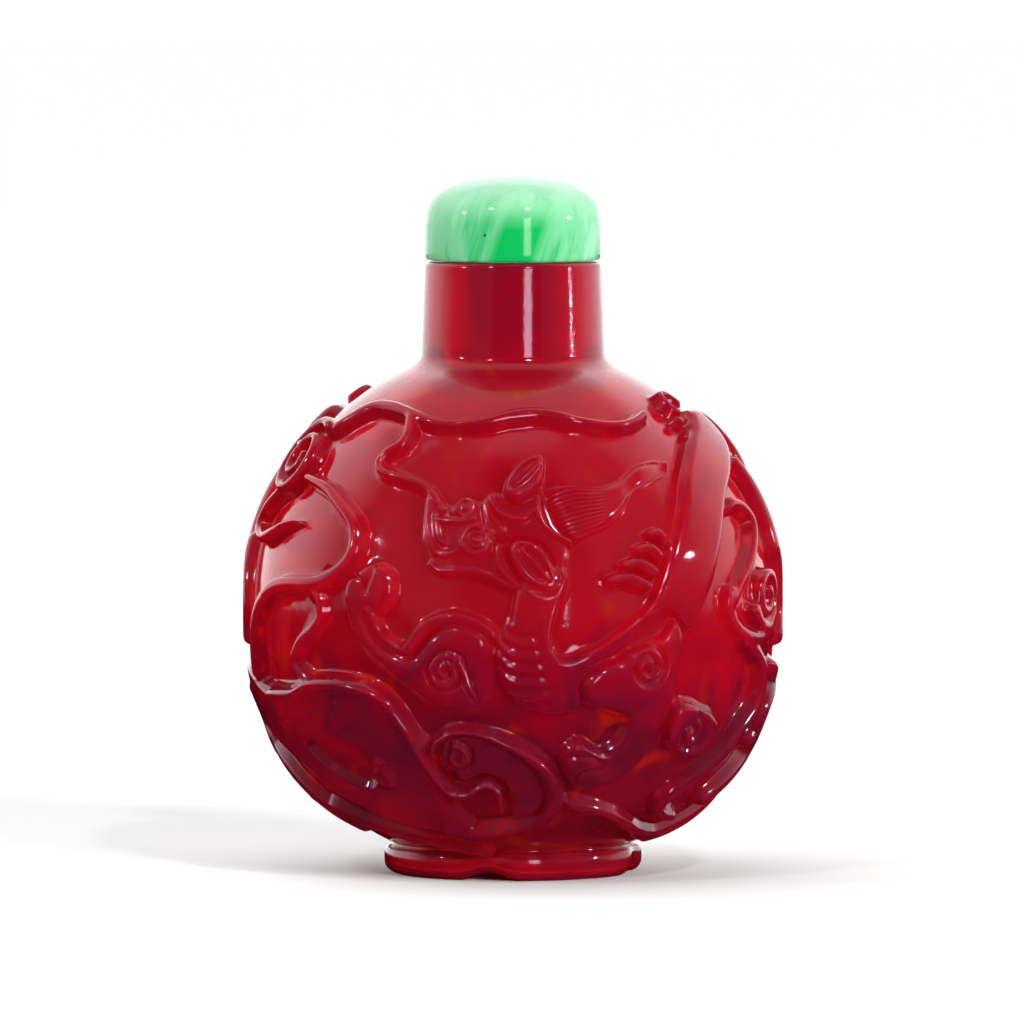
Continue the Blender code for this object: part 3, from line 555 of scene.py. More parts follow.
def bottom_scroll(c):
    """The large scroll low on the front: a plate inside a rim that widens to the right."""
    c.patch([(-18, 12.2), (-16, 13.9), (-8, 14), (-2.8, 13.4), (1.8, 12.4), (5.4, 11.3), (8, 9.8),
             (8.4, 8.2), (5.6, 7), (2, 6.7), (-1, 7.2), (-1.7, 8.2), (-2, 9.5), (-4.2, 10.3),
             (-7, 10.6), (-9.8, 10.2), (-12.4, 10), (-14.8, 10.5), (-16.8, 11.2)], 1.05, 0.4, moat=0.4)
    c.band([(-18.9, 12.5), (-18.2, 13.4), (-15.4, 14.2), (-11.8, 14.5), (-7, 14.3), (-2.5, 13.7),
            (2.5, 12.7), (6.8, 11.5), (9.6, 10.1), (11.3, 8.6), (10.2, 7.2), (6.5, 6.4), (1.5, 6),
            (-5, 5.7), (-13, 5.6), (-21, 5.9)],
           (0.25, 0.32, 0.36, 0.5, 0.72, 1.0, 0.85, 0.7, 0.65, 0.6), 1.6)
    c.groove([(-14.6, 10.8), (-16, 10.3), (-15.7, 9.6), (-13, 9.5), (-9.8, 10.2), (-7, 10.6),
              (-4.2, 10.3), (-2.1, 9.5), (-1.5, 8.2), (-1.1, 7.3)], 0.32, 0.9)
    c.band(spiral((-13, 12.3), 1.0, -1.1, 100), 0.4, 1.5, moat=0.2)


def right_clouds(c):
    """The clouds on the right: two curls, the straps that wrap them and a rosette."""
    c.band(spiral((71, 25.2), 2.9, 1.6, 200), (0.75, 0.6), 1.6)
    c.band([(54, 26), (53.3, 25), (54.5, 23.6), (58, 22.5), (65, 21.8), (74, 22)], 0.7, 1.4)
    c.band([(57, 33), (61.5, 33.4), (66, 33.1), (69.5, 31.9), (68, 30.6), (65, 29.2), (61.5, 27.9),
            (57.5, 26.6), (55, 25.2)], 0.75, 1.3)
    c.band([(60, 21.6), (65, 20.6), (70, 19), (72, 17.2), (70, 15.3), (66, 13.8), (63, 12.3),
            (59, 11), (53, 9.6), (48, 8.6), (46, 7.6), (49, 6.7), (56, 6.4)], (0.8, 0.9, 1.1, 0.7), 1.4)
    c.band([(70, 37.4), (76, 36.6), (81, 34.4), (84, 31.6), (84.5, 29.3)], (0.5, 1.0, 1.3, 1.2), 1.45)
    c.band(spiral((63, 41.6), 1.7, 1.2, 220), 0.5, 1.3)
    c.patch([(37.5, 13.8), (39, 16.4), (43.5, 16.7), (48, 16), (51.5, 15.6), (55.5, 14.2),
             (56.5, 12.7), (52, 11.7), (45, 11.8), (39.5, 12.8)], 1.3, 0.8, moat=0.3)
    c.groove(spiral((45, 13.9), 1.7, -1.3, 80), 0.4, 0.6)
    c.band([(16, 7.9), (24, 7.3), (31, 6.7), (38, 5.9), (46, 5.1), (58, 4.6)], 0.7, 1.2)


def side_leaves(c):
    """Leaf bands down both sides, which break the outline."""
    c.band([(96, 17), (88, 16.4), (84, 14), (88, 11.5), (80, 9.4), (70, 7.6)], 1.0, 1.4)
    c.band([(90, 7.5), (78, 5.8), (66, 4.8), (56, 4.4)], 0.9, 1.2)
    c.band([(-97, 12.5), (-88, 11), (-78, 8.6), (-68, 6.6), (-58, 5.4)], 0.95, 1.3)
    c.band([(-92, 29.5), (-89, 26.5), (-88, 23.5), (-90, 21.5)], 1.2, 1.4)


def tail(c):
    """The tail that runs down to the notch between the front lobes of the foot."""
    c.band([(-66, 7), (-50, 5.4), (-35, 4.5), (-22, 3.8), (-12, 3.2)], (0.7, 0.9, 0.9), 1.2)


def body_sweep(c):
    """The body, a broad band that sweeps up to the right shoulder of the bottle."""
    c.patch([(12.5, 20.8), (18.5, 21.9), (24, 23), (28, 24.4), (31.2, 26), (33, 27.5), (35.5, 29.8),
             (38, 31.9), (41.5, 34.2), (44.5, 36), (48.5, 37.4), (54, 38.8), (60.5, 39.8),
             (68, 41.2), (75, 41), (78, 39.3), (76, 37.6), (68, 35.7), (61.5, 34.3), (57.5, 33),
             (54, 31.1), (50.5, 28.8), (47.5, 26.5), (44.5, 24.9), (42, 23), (38.8, 23.2),
             (35.5, 24.6), (31, 24.6), (26, 22.7), (20, 20.8), (15.5, 19.6)], 1.6, 1.2, moat=0.5)


def chest(c):
    """The neck and the chest below the head, and the rim that runs on under the body."""
    c.patch([(1.2, 27.2), (0.2, 26.2), (-0.2, 25.2), (-0.8, 24.1), (-2.8, 23.2), (-3.7, 21.8),
             (-3.9, 20.1), (-2.6, 18.4), (0.5, 17), (4.8, 16.2), (9, 15.9), (14.5, 16.2), (16, 17.4),
             (16, 19), (14.6, 20.6), (12.8, 20.9), (10, 20.9), (8.6, 21.6), (8.2, 22.9), (9.4, 24.6),
             (10.5, 26.5), (11.6, 28.5), (6, 29)], 1.2, 0.9)
    c.band([(11, 27.8), (9.6, 26.2), (8, 24.5), (7.1, 22.8), (7.7, 21.3), (9.6, 20.4), (12.4, 20.3),
            (15.6, 20.9), (19.4, 21.6), (23, 22.6), (27.5, 24)], (0.35, 0.45, 0.5, 0.5, 0.45, 0.3), 1.5)


def right_limb(c):
    """The right limb, from the curl on its shoulder down to its hooked paw."""
    c.patch([(38.9, 22.4), (38.6, 20.7), (38, 18.8), (37.8, 16.8), (35.7, 14.7), (34.2, 12.8),
             (32, 11.4), (28.3, 10.3), (24, 9.5), (18, 9.3), (14, 10), (11.3, 11.7), (12, 12.9),
             (14, 13.6), (17, 13.5), (20.3, 12.7), (22.7, 13), (25.2, 14), (25.7, 15.5),
             (20, 16.3), (15.8, 17), (14.8, 18.7), (18, 20), (23, 20.6), (26.5, 21.6), (30, 22.1),
             (33.5, 22.5), (36.4, 23.9), (38, 23.6)], 1.35, 0.9, moat=0.25)
    c.groove(spiral((30, 20), 1.95, -1.7, 130), 0.35, 0.6)


MOTIFS = (whiskers, left_clouds, mane, head, claw, left_limb, lower_left, tail, bottom_scroll,
          right_clouds, side_leaves, body_sweep, chest, right_limb)


# The finest carving, on top of the motifs

def fine_head(c):
    """Eyes, nostril, lips and socket of the head, and the hollows of its ears."""
    c.ridge([(-17.4, 33.4), (-17.4, 32.2), (-16.2, 30.8), (-14.2, 30.6)], 0.22, 0.35)
    c.ridge([(-16.6, 32.5), (-13.5, 32.4), (-10.5, 32.5), (-8.2, 32.7)], 0.26, 0.45)
    c.knob((-16.4, 33.4), 0.45, 0.5)
    c.knob((-13.6, 33.2), 0.3, 0.35)
    c.ring((-10.8, 33.6), 0.72, 0.26, 0.4)
    c.knob((-10.8, 33.6), 0.4, 0.45)
    c.ring((-8, 30.9), 1.15, 0.3, 0.5)
    c.ring((-8, 30.9), 0.62, 0.2, 0.35)
    c.knob((-8, 30.9), 0.34, 0.4)
    c.knob((-11.6, 30.5), 0.36, 0.4)
    c.groove([(-5.8, 35), (-7.6, 34.2), (-7.4, 33), (-6.4, 31.8), (-3.8, 31), (-0.6, 30.9)], 0.25, 0.35)
    c.window([(-5.4, 34), (-5.6, 32.9), (-4, 31.9), (-1.6, 31.7), (-2.4, 32.5), (-4.2, 33.3)], 0.5, 0.5)
    c.ridge([(-3.2, 30.4), (-3.2, 29.2), (-2, 28.2), (0.6, 27.2)], 0.32, 0.5)
    c.window([(-0.6, 35.2), (0.9, 36.3), (3.8, 37.2), (7, 37.5), (7, 36.7), (5.6, 35.7), (2.5, 34.9)],
             1.1, 0.3)
    c.ridge([(1, 35.5), (3.6, 36.2), (6.6, 37.3)], 0.22, 0.3)
    c.window([(0.7, 29.9), (2, 30.5), (4.5, 30.1), (7, 28.9), (8.3, 27.4), (5.4, 27.4), (2.4, 28.5)],
             1.1, 0.3)
    c.ridge([(2, 30), (4.8, 28.9), (7.6, 27.6)], 0.22, 0.3)
    c.ridge([(3.2, 26.3), (5.8, 25.9), (8.2, 26), (10.4, 26.9)], 0.35, 0.4)


def fine_mane(c):
    """The fine strands of the mane, fanned out from the collar to the tip."""
    for strand in range(1, STRANDS):
        share = strand / STRANDS
        path = [between(a, b, share) for a, b in MANE_FAN]
        c.groove(path, 0.19, 0.55)


def fine_chest(c):
    """The belly folds down the chest, each steep at the left and fading to the right."""
    for fold in range(CHEST_FOLDS):
        end = 22.7 - 1.16 * fold
        c.groove([(-3.2, end + 1.3), (-1.8, end + 0.65), (0.6, end + 0.12), (4 + 0.6 * fold, end)], 0.45, 0.6)


def fine_limbs(c):
    """Toes and pads of the two paws."""
    c.groove([(-36.6, 27.5), (-35, 27.7), (-33.6, 27), (-32.6, 26.3)], 0.25, 0.5)
    c.groove([(-31, 28.6), (-31.4, 27.6), (-32.6, 26.6)], 0.22, 0.45)
    c.groove([(-28.6, 28.5), (-27.4, 27), (-28.4, 25.4)], 0.22, 0.3)
    c.groove([(12.2, 11.5), (12.8, 12.3), (15, 12.5), (18.6, 12.3), (22, 11.7)], 0.22, 0.45)
    c.groove([(15.4, 10), (15.8, 10.8), (18, 11.3), (21.6, 11.3)], 0.2, 0.4)


def fine_scrolls(c):
    """Lines inside the clouds and scrolls."""
    c.groove([(69, 35.9), (72.5, 34.2), (76, 32.2), (79, 30)], 0.4, 0.7)
    c.groove([(22, 7.4), (31, 6.3), (40, 5.2), (52, 4.5)], 0.2, 0.3)
    c.groove([(-63, 27.1), (-56, 27.5), (-49, 27.6)], 0.15, 0.2)


FINE_MOTIFS = (fine_head, fine_mane, fine_chest, fine_limbs, fine_scrolls)


def soften(grid):
    """The relief with its edges eased, as polishing leaves them."""
    across = (2 * grid + np.roll(grid, 1, axis=1) + np.roll(grid, -1, axis=1)) / 4
    padded = np.pad(across, ((1, 1), (0, 0)), mode="edge")
    return (2 * across + padded[:-2] + padded[2:]) / 4


def relief(azimuth, height):
    """Relief of both faces in metres; the back repeats the front, half a turn round."""
    carving = Carving(azimuth.ravel(), height.ravel())
    for motif in MOTIFS + FINE_MOTIFS:
        motif(carving)
    one_face = carving.relief.reshape(azimuth.shape)
    other_face = np.roll(one_face, azimuth.shape[1] // 2, axis=1)
    both = np.maximum(np.maximum(one_face, other_face), 0)
    for _ in range(SOFTEN_PASSES):
        both = soften(both)
    return both * UNIT


# Meshes

def notch(azimuth):
    """How far into a notch of the foot each place is, from 0 on a lobe to 1."""
    pitch = 360 / LOBES
    off = (azimuth - NOTCH_AZIMUTH + pitch / 2) % pitch - pitch / 2
    return np.cos(np.clip(off / NOTCH_HALF_WIDTH, -1, 1) * math.pi / 2) ** 2


def ring_rows(profile, azimuth):
    """Plain turned rows, as radius and height for each column."""
    return [(np.full(azimuth.shape, r), np.full(azimuth.shape, z)) for r, z in profile]


def foot_rows(azimuth):
    """The foot's rows, drawn in and lifted at the notches between its lobes."""
    dent = notch(azimuth)
    inner = FOOT_RADIUS - FOOT_RING
    rows = []
    for r, z in foot_profile():
        outward = min(max((r - inner) / FOOT_RING, 0), 1)
        lift = NOTCH_RISE * (1 - z / FOOT_HEIGHT) if r >= inner else 0
        rows.append((r - NOTCH_DEPTH * outward * dent, z + lift * dent))
    return rows


def eased(radius):
    """Radius of the carving, its highest crowns eased to stay inside the solid's own box."""
    start = CARVED_REACH - CARVED_EASE
    over = np.maximum(radius - start, 0)
    return np.minimum(radius, start) + CARVED_EASE * np.tanh(over / CARVED_EASE)


def body_rows(azimuth):
    """The carved rows of the body."""
    heights = body_heights()
    columns, rows = np.meshgrid(azimuth, heights)
    raised = relief(columns, rows / UNIT)
    step = BODY_HEIGHT / BODY_ROWS / 10
    slope = (body_radius(heights + step) - body_radius(heights - step)) / (2 * step)
    out = 1 / np.sqrt(1 + slope ** 2)
    up = -slope * out
    radius = body_radius(heights)
    return [(eased(radius[i] + raised[i] * out[i]), heights[i] + raised[i] * up[i])
            for i in range(len(heights))]


def lathe(name, rows, azimuth, bottom, top):
    """A closed mesh from rows of a wall, between a middle point at each end of them."""
    turn = np.radians(azimuth)
    columns = len(azimuth)
    places = [np.stack([r * np.sin(turn), -r * np.cos(turn), z], axis=1) for r, z in rows]
    ends = np.array([[0, 0, bottom], [0, 0, top]])
    points = np.concatenate(places + [ends])
    here = np.arange(columns)
    beside = (here + 1) % columns
    faces = []
    for row in range(len(rows) - 1):
        low = row * columns
        high = low + columns
        faces += np.stack([low + here, low + beside, high + beside, high + here], axis=1).tolist()
    first = len(rows) * columns
    last = (len(rows) - 1) * columns
    faces += [(first, int(j), int(i)) for i, j in zip(here, beside)]
    faces += [(first + 1, last + int(i), last + int(j)) for i, j in zip(here, beside)]
    data = bpy.data.meshes.new(name)
    data.from_pydata(points.tolist(), [], faces)
    data.shade_smooth()
    piece = bpy.data.objects.new(name, data)
    bpy.context.scene.collection.objects.link(piece)
    return piece


def reduce(piece, triangles):
    """The piece's mesh with its flat areas in fewer triangles."""
    whole = 2 * len(piece.data.polygons)
    if whole <= triangles:
        return
    fewer = piece.modifiers.new("fewer faces", "DECIMATE")
    fewer.ratio = triangles / whole
    fewer.use_collapse_triangulate = True
    evaluated = piece.evaluated_get(bpy.context.evaluated_depsgraph_get())
    data = bpy.data.meshes.new_from_object(evaluated)
    piece.modifiers.clear()
    piece.data = data
    data.shade_smooth()


def azimuths(columns, fine_share=1.0):
    """Degrees round a piece, closer together at the head and mane of both faces."""
    even = np.linspace(-90, 90, TURN_SAMPLES)
    middle = (even[1:] + even[:-1]) / 2
    weight = np.where((middle > FINE_AZIMUTHS[0]) & (middle < FINE_AZIMUTHS[1]), fine_share, 1)
    along = np.concatenate([[0], np.cumsum(weight)])
    half = np.interp(np.arange(columns // 2) * along[-1] / (columns // 2), along, even)
    return (np.concatenate([half, half + 180]) + 180) % 360 - 180


# Materials

def new_material(name):
    """A node material with its nodes, its links and its shader."""
    made = bpy.data.materials.new(name)
    made.use_nodes = True
    nodes = made.node_tree.nodes
    shader = nodes["Principled BSDF"]
    return made, nodes, made.node_tree.links, shader


def object_place(nodes, links, stretch=(1, 1, 1), turn=(0, 0, 0)):
    """The place on a piece, for a texture that is turned and then stretched."""
    where = nodes.new("ShaderNodeTexCoord")
    mapping = nodes.new("ShaderNodeMapping")
    mapping.vector_type = "TEXTURE"
    mapping.inputs["Rotation"].default_value = turn
    mapping.inputs["Scale"].default_value = stretch
    links.new(where.outputs["Object"], mapping.inputs["Vector"])
    return mapping.outputs["Vector"]


def part_of(nodes, links, place, axis):
    """One coordinate of a place."""
    parts = nodes.new("ShaderNodeSeparateXYZ")
    links.new(place, parts.inputs[0])
    return parts.outputs[axis]


def combine(nodes, links, operation, first, second):
    """Two values, or a value and a number, combined."""
    made = nodes.new("ShaderNodeMath")
    made.operation = operation
    for socket, value in zip(made.inputs, (first, second)):
        if isinstance(value, (int, float)):
            socket.default_value = value
        else:
            links.new(value, socket)
    return made.outputs[0]


def noise(nodes, links, place, scale, detail=2.0, distortion=0.0):
    """A noise texture's value."""
    made = nodes.new("ShaderNodeTexNoise")
    made.inputs["Scale"].default_value = scale
    made.inputs["Detail"].default_value = detail
    made.inputs["Distortion"].default_value = distortion
    links.new(place, made.inputs["Vector"])
    return made.outputs["Fac"]


def levels(nodes, links, value, low, high, to_low=0.0, to_high=1.0):
    """A value stretched from one range to another and held there."""
    made = nodes.new("ShaderNodeMapRange")
    for name, number in (("From Min", low), ("From Max", high), ("To Min", to_low), ("To Max", to_high)):
        made.inputs[name].default_value = number
    links.new(value, made.inputs["Value"])
    return made.outputs["Result"]


def colours(nodes, links, value, stops):
    """A value turned into colours."""
    made = nodes.new("ShaderNodeValToRGB")
    elements = made.color_ramp.elements
    elements[0].position, elements[0].color = stops[0][0], (*stops[0][1], 1)
    elements[1].position, elements[1].color = stops[-1][0], (*stops[-1][1], 1)
    for position, colour in stops[1:-1]:
        elements.new(position).color = (*colour, 1)
    links.new(value, made.inputs["Fac"])
    return made.outputs["Color"]


def blend(nodes, links, way, share, first, second):
    """A colour blended by a share with a named colour."""
    made = nodes.new("ShaderNodeMixRGB")
    made.blend_type = way
    made.inputs["Color2"].default_value = (*second, 1)
    links.new(share, made.inputs["Fac"])
    links.new(first, made.inputs["Color1"])
    return made.outputs["Color"]


def bump(nodes, links, height, depth, shader):
    """Fine unevenness of a surface, with its depth in metres."""
    made = nodes.new("ShaderNodeBump")
    made.inputs["Strength"].default_value = 1.0
    made.inputs["Distance"].default_value = depth
    links.new(height, made.inputs["Height"])
    links.new(made.outputs["Normal"], shader.inputs["Normal"])


def raised(nodes, links, place):
    """How far a place stands out of the uncarved body, from 0 on the ground to 1 on the carving."""
    off = combine(nodes, links, "SUBTRACT", part_of(nodes, links, place, "Z"), BELLY_HEIGHT)
    above = combine(nodes, links, "DIVIDE", off, BODY_CROWN)
    below = combine(nodes, links, "DIVIDE", off, BODY_START - BELLY_HEIGHT)
    up = combine(nodes, links, "POWER", combine(nodes, links, "MAXIMUM", above, 0.0), 2.0)
    down = combine(nodes, links, "POWER", combine(nodes, links, "MAXIMUM", below, 0.0), LOWER_FULLNESS)
    is_low = combine(nodes, links, "LESS_THAN", off, 0.0)
    power = levels(nodes, links, is_low, 0, 1, 2.0, LOWER_FULLNESS)
    squares = []
    for axis in "XY":
        share = combine(nodes, links, "DIVIDE", part_of(nodes, links, place, axis), BODY_RADIUS)
        squares.append(combine(nodes, links, "POWER", share, 2.0))
    out = combine(nodes, links, "POWER", combine(nodes, links, "ADD", *squares),
                  combine(nodes, links, "DIVIDE", power, 2.0))
    whole = combine(nodes, links, "ADD", out, combine(nodes, links, "ADD", up, down))
    scale = 2 / BODY_RADIUS
    return levels(nodes, links, whole, 1 + scale * RAISED_FROM, 1 + scale * RAISED_FULL)


def ruby_glass(name, roughness, grain):
    """Deep red glass, see-through by plain values, cloudy and darker where it is thick, with painted shade by
    height, painted glow spots and a painted sheen on the carving.
    """
    made, nodes, links, shader = new_material(name)
    place = object_place(nodes, links)
    clouds = noise(nodes, links, place, RUBY_CLOUD_SCALE, detail=3, distortion=1.5)
    shift = levels(nodes, links, clouds, *RUBY_CLOUD_RANGE, -RUBY_CLOUDS / 2, RUBY_CLOUDS / 2)
    height = combine(nodes, links, "ADD", part_of(nodes, links, place, "Z"), shift)
    low, high = RUBY_PAINTED_SHADE_BY_HEIGHT[0][0], RUBY_PAINTED_SHADE_BY_HEIGHT[-1][0]
    stops = [((at - low) / (high - low), colour) for at, colour in RUBY_PAINTED_SHADE_BY_HEIGHT]
    # Painted shade: the colour darkens by height, low on the body where shade falls
    painted_height_shade = colours(nodes, links, levels(nodes, links, height, low, high), stops)
    carved = raised(nodes, links, place)
    # Painted glow: orange spots, kept to the ground between the carving
    painted_glow_noise = noise(nodes, links, place, RUBY_PAINTED_GLOW_SCALE, detail=1, distortion=1.0)
    painted_glow_spots = levels(nodes, links, painted_glow_noise, *RUBY_PAINTED_GLOW_RANGE)
    painted_glow = combine(nodes, links, "MULTIPLY", painted_glow_spots, levels(nodes, links, carved, 0, 1, 1, 0))
    with_painted_glow = blend(nodes, links, "MIX", painted_glow, painted_height_shade, RUBY_PAINTED_GLOW)
    # Painted sheen on the raised carving
    links.new(blend(nodes, links, "MULTIPLY", carved, with_painted_glow, RUBY_RAISED_PAINTED_SHEEN), shader.inputs["Base Color"])
    shader.inputs["IOR"].default_value = GLASS_IOR
    shader.inputs["Transmission Weight"].default_value = RUBY_CLEARNESS
    shader.inputs["Specular Tint"].default_value = (*RUBY_SHEEN_TINT, 1)
    shader.inputs["Coat Weight"].default_value = RUBY_POLISH
    shader.inputs["Coat Roughness"].default_value = RUBY_POLISH_ROUGHNESS
    shader.inputs["Subsurface Weight"].default_value = 1.0
    shader.inputs["Subsurface Radius"].default_value = RUBY_CLOUD_SPREAD
    shader.inputs["Subsurface Scale"].default_value = RUBY_CLOUD_REACH
    wear = noise(nodes, links, place, RUBY_WEAR_SCALE, detail=5)
    worn = levels(nodes, links, wear, *RUBY_WEAR_RANGE, roughness, RUBY_WEAR_FACTOR * roughness)
    links.new(worn, shader.inputs["Roughness"])
    bump(nodes, links, noise(nodes, links, place, grain, detail=3), RUBY_GRAIN_DEPTH, shader)
    absorb = nodes.new("ShaderNodeVolumeAbsorption")
    absorb.inputs["Color"].default_value = (*RUBY_DEPTH, 1)
    absorb.inputs["Density"].default_value = RUBY_DENSITY
    links.new(absorb.outputs["Volume"], nodes["Material Output"].inputs["Volume"])
    return made


def painted_dark_patch(nodes, links, tilted, upright):
    """How far a place is inside the dark green patch painted down the middle of the stopper for the dark room
    it would reflect, which leans with the streaks.
    """
    across = part_of(nodes, links, tilted, "X")
    centre = CAP_START * math.sin(STREAK_TILT)
    left = levels(nodes, links, across, DARK_PATCH_LEFT - centre - DARK_PATCH_EDGE, DARK_PATCH_LEFT - centre)
    right = levels(nodes, links, across, DARK_PATCH_RIGHT - centre, DARK_PATCH_RIGHT - centre + DARK_PATCH_EDGE, 1, 0)
    top = CAP_START + DARK_PATCH_HEIGHT
    below = levels(nodes, links, part_of(nodes, links, upright, "Z"), top - DARK_PATCH_EDGE, top + DARK_PATCH_EDGE, 1, 0)
    inside = combine(nodes, links, "MULTIPLY", left, right)
    return combine(nodes, links, "MULTIPLY", inside, below)


def specks(nodes, links, place):
    """A few tiny dark inclusions."""
    cells = nodes.new("ShaderNodeTexVoronoi")
    cells.inputs["Scale"].default_value = SPECK_SPREAD
    links.new(place, cells.inputs["Vector"])
    dots = levels(nodes, links, cells.outputs["Distance"], SPECK_SIZE, 2 * SPECK_SIZE, 1, 0)
    some = levels(nodes, links, noise(nodes, links, place, SPECK_SPREAD / 2, detail=0), *SPECK_RANGE)
    return combine(nodes, links, "MULTIPLY", dots, some)


def green_glass():
    """Cloudy green glass with slanting streaks, a painted pale top for the light from above and a painted
    dark patch for the dark room it reflects.
    """
    made, nodes, links, shader = new_material("green_glass")
    tilted = object_place(nodes, links, turn=(0, STREAK_TILT, 0))
    along = object_place(nodes, links, stretch=(1, 1, STREAK_LENGTH), turn=(0, STREAK_TILT, 0))
    streaks = noise(nodes, links, along, STREAK_SCALE, detail=4, distortion=0.3)
    base = colours(nodes, links, streaks, GREEN_STREAKS)
    upright = object_place(nodes, links)
    # Painted highlight: the top of the cap paler
    crown = levels(nodes, links, part_of(nodes, links, upright, "Z"), CAP_TOP - PAINTED_TOP_LIGHT_DEPTH, CAP_TOP)
    with_painted_top_light = blend(nodes, links, "MIX", crown, base, GREEN_PAINTED_TOP_LIGHT)
    # Painted reflection: the dark patch in the middle of the cap
    with_painted_dark_patch = blend(nodes, links, "MIX", painted_dark_patch(nodes, links, tilted, upright), with_painted_top_light, GREEN_PAINTED_DARK_PATCH)
    specked = blend(nodes, links, "MIX", specks(nodes, links, upright), with_painted_dark_patch, SPECK)
    links.new(specked, shader.inputs["Base Color"])
    shader.inputs["Roughness"].default_value = GREEN_ROUGHNESS
    shader.inputs["IOR"].default_value = GLASS_IOR
    shader.inputs["Subsurface Weight"].default_value = GREEN_CLOUDINESS
    shader.inputs["Subsurface Radius"].default_value = GREEN_CLOUD_SPREAD
    shader.inputs["Subsurface Scale"].default_value = GREEN_CLOUD_REACH
    bump(nodes, links, streaks, STREAK_DEPTH, shader)
    return made


def cork_material():
    """Cork with its pores."""
    made, nodes, links, shader = new_material("cork")
    place = object_place(nodes, links)
    pores = noise(nodes, links, place, PORE_SCALE, detail=4)
    links.new(colours(nodes, links, pores, CORK_SHADES), shader.inputs["Base Color"])
    shader.inputs["Roughness"].default_value = CORK_ROUGHNESS
    bump(nodes, links, pores, PORE_DEPTH, shader)
    return made


def white_floor():
    """Matt white studio floor."""
    made, nodes, links, shader = new_material("studio_white")
    shader.inputs["Base Color"].default_value = (FLOOR_WHITE, FLOOR_WHITE, FLOOR_WHITE, 1)
    shader.inputs["Roughness"].default_value = 1.0
    shader.inputs["Specular IOR Level"].default_value = 0.0
    return made


# Pieces

def make_bottle():
    """The carved bottle, polished outside and ground inside."""
    azimuth = azimuths(COLUMNS, FINE_SHARE)
    outside = foot_rows(azimuth) + body_rows(azimuth) + ring_rows(mouth_profile(), azimuth)
    rows = outside + ring_rows(cavity_profile(), azimuth)
    bottle = lathe("bottle_glass", rows, azimuth, FOOT_RECESS, CAVITY_FLOOR)
    bottle.data.materials.append(ruby_glass("ruby_glass", RUBY_ROUGHNESS, RUBY_GRAIN_SCALE))
    ground = ruby_glass("ruby_glass_inside", RUBY_INSIDE_ROUGHNESS, RUBY_INSIDE_GRAIN_SCALE)
    bottle.data.materials.append(ground)

    # Faces run up the outside and down the inside, then close the foot, then the hollow's floor
    inside = np.zeros(len(bottle.data.polygons), int)
    inside[(len(outside) - 1) * COLUMNS:] = 1
    inside[-2 * COLUMNS:-COLUMNS] = 0
    bottle.data.polygons.foreach_set("material_index", inside)
    reduce(bottle, BOTTLE_TRIANGLES)
    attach(bottle, "root")
    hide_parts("bottle")


def make_stopper():
    """The domed cap."""
    azimuth = azimuths(CAP_COLUMNS)
    rows = ring_rows(cap_profile(), azimuth)
    cap = lathe("stopper_cap", rows, azimuth, CAP_START - CAP_DROP, CAP_TOP)
    cap.data.materials.append(green_glass())
    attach(cap, "root")
    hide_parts("stopper")


def dress_cork():
    """The cork keeps its solid and gets its own finish."""
    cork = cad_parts["stopper_cork"]
    cork.data.materials.clear()
    cork.data.materials.append(cork_material())
    cork.data.shade_smooth()


# Studio

def make_floor():
    """A wide flat pale floor, kept out of the glass's reflections."""
    half = FLOOR_SIZE / 2
    points = [(-half, -half, 0), (half, -half, 0), (half, half, 0), (-half, half, 0)]
    data = bpy.data.meshes.new("studio_floor")
    data.from_pydata(points, [], [(0, 1, 2, 3)])
    data.materials.append(white_floor())
    floor = bpy.data.objects.new("studio_floor", data)
    bpy.context.scene.collection.objects.link(floor)
    floor.visible_glossy = False


def add_light(name, data, azimuth, elevation):
    """A light in degrees right of the camera's side and up, turned to face the bottle."""
    turn, rise = math.radians(azimuth), math.radians(elevation)
    towards = Vector((math.sin(turn) * math.cos(rise), -math.cos(turn) * math.cos(rise), math.sin(rise)))
    light = bpy.data.objects.new(name, data)
    light.location = Vector((0, 0, LIP_HEIGHT / 2)) + LIGHT_DISTANCE * towards
    light.rotation_euler = (-towards).to_track_quat("-Z", "Y").to_euler()
    bpy.context.scene.collection.objects.link(light)
    return light


def area_light(name, azimuth, elevation, width, height, power):
    """A soft rectangular light, seen in the glass."""
    data = bpy.data.lights.new(name, "AREA")
    data.shape = "RECTANGLE"
    data.size = width
    data.size_y = height
    data.energy = power
    add_light(name, data, azimuth, elevation)


def sun_light(name, azimuth, elevation, spread, strength):
    """An even low light for the long soft shadow, kept out of the glass's reflections."""
    data = bpy.data.lights.new(name, "SUN")
    data.angle = math.radians(spread)
    data.energy = strength
    light = add_light(name, data, azimuth, elevation)
    light.visible_glossy = False
    light.visible_transmission = False


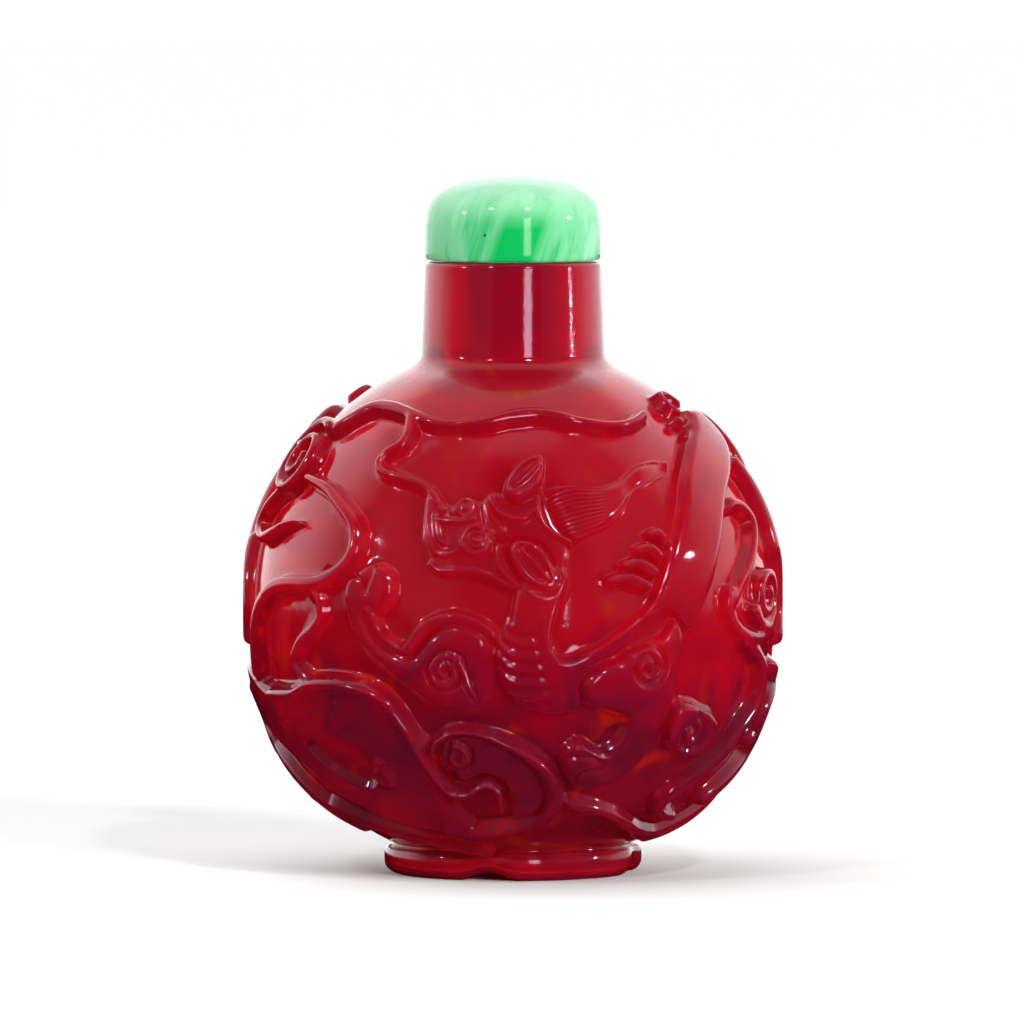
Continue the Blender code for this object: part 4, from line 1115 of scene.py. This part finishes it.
def make_world():
    """Soft studio light: white behind and at the sides, with a dark room in front below the softbox."""
    world = bpy.data.worlds.new("studio")
    world.use_nodes = True
    bpy.context.scene.world = world
    nodes = world.node_tree.nodes
    links = world.node_tree.links
    where = nodes.new("ShaderNodeTexCoord")
    parts = nodes.new("ShaderNodeSeparateXYZ")
    links.new(where.outputs["Generated"], parts.inputs[0])
    turn = combine(nodes, links, "ARCTAN2", parts.outputs["X"], parts.outputs["Y"])
    around = levels(nodes, links, turn, -math.pi, math.pi)
    stops = []
    for degrees, level in AROUND:
        stops.append((degrees / 360 + 0.5, (level, level, level)))
    ring = colours(nodes, links, around, stops)
    above = levels(nodes, links, parts.outputs["Z"], math.sin(TOP_FROM), math.sin(TOP_FULL))
    high = levels(nodes, links, parts.outputs["Z"], math.sin(BACK_TO), math.sin(BACK_FADED),
                  LEVEL_BACK, LEVEL_TOP)
    held = combine(nodes, links, "MINIMUM", ring, high)
    over_horizon = levels(nodes, links, parts.outputs["Z"], DARK_BELOW, LIT_ABOVE)
    level = combine(nodes, links, "MULTIPLY", held, over_horizon)
    mix = nodes.new("ShaderNodeMix")
    links.new(above, mix.inputs["Factor"])
    links.new(level, mix.inputs["A"])
    mix.inputs["B"].default_value = LEVEL_TOP
    nodes["Background"].inputs["Color"].default_value = (1, 1, 1, 1)
    links.new(mix.outputs["Result"], nodes["Background"].inputs["Strength"])


def make_camera():
    """The photograph's view: a long lens a little above the bottle."""
    data = bpy.data.cameras.new("camera")
    data.sensor_width = SENSOR
    data.lens = LENS
    data.shift_x = -CAMERA_SHIFT_PIXELS / IMAGE_SIZE
    data.clip_start, data.clip_end = CAMERA_RANGE
    camera = bpy.data.objects.new("camera", data)
    camera.location = CAMERA_PLACE
    camera.rotation_euler = (Vector(CAMERA_AIM) - Vector(CAMERA_PLACE)).to_track_quat("-Z", "Y").to_euler()
    bpy.context.scene.collection.objects.link(camera)
    bpy.context.scene.camera = camera


make_bottle()
make_stopper()
dress_cork()
make_floor()
make_world()
for light in EVEN_LIGHTS:
    sun_light(*light)
for light in SEEN_LIGHTS:
    area_light(*light)
make_camera()
view = bpy.context.scene.view_settings
view.view_transform = "Standard"
view.look = "None"
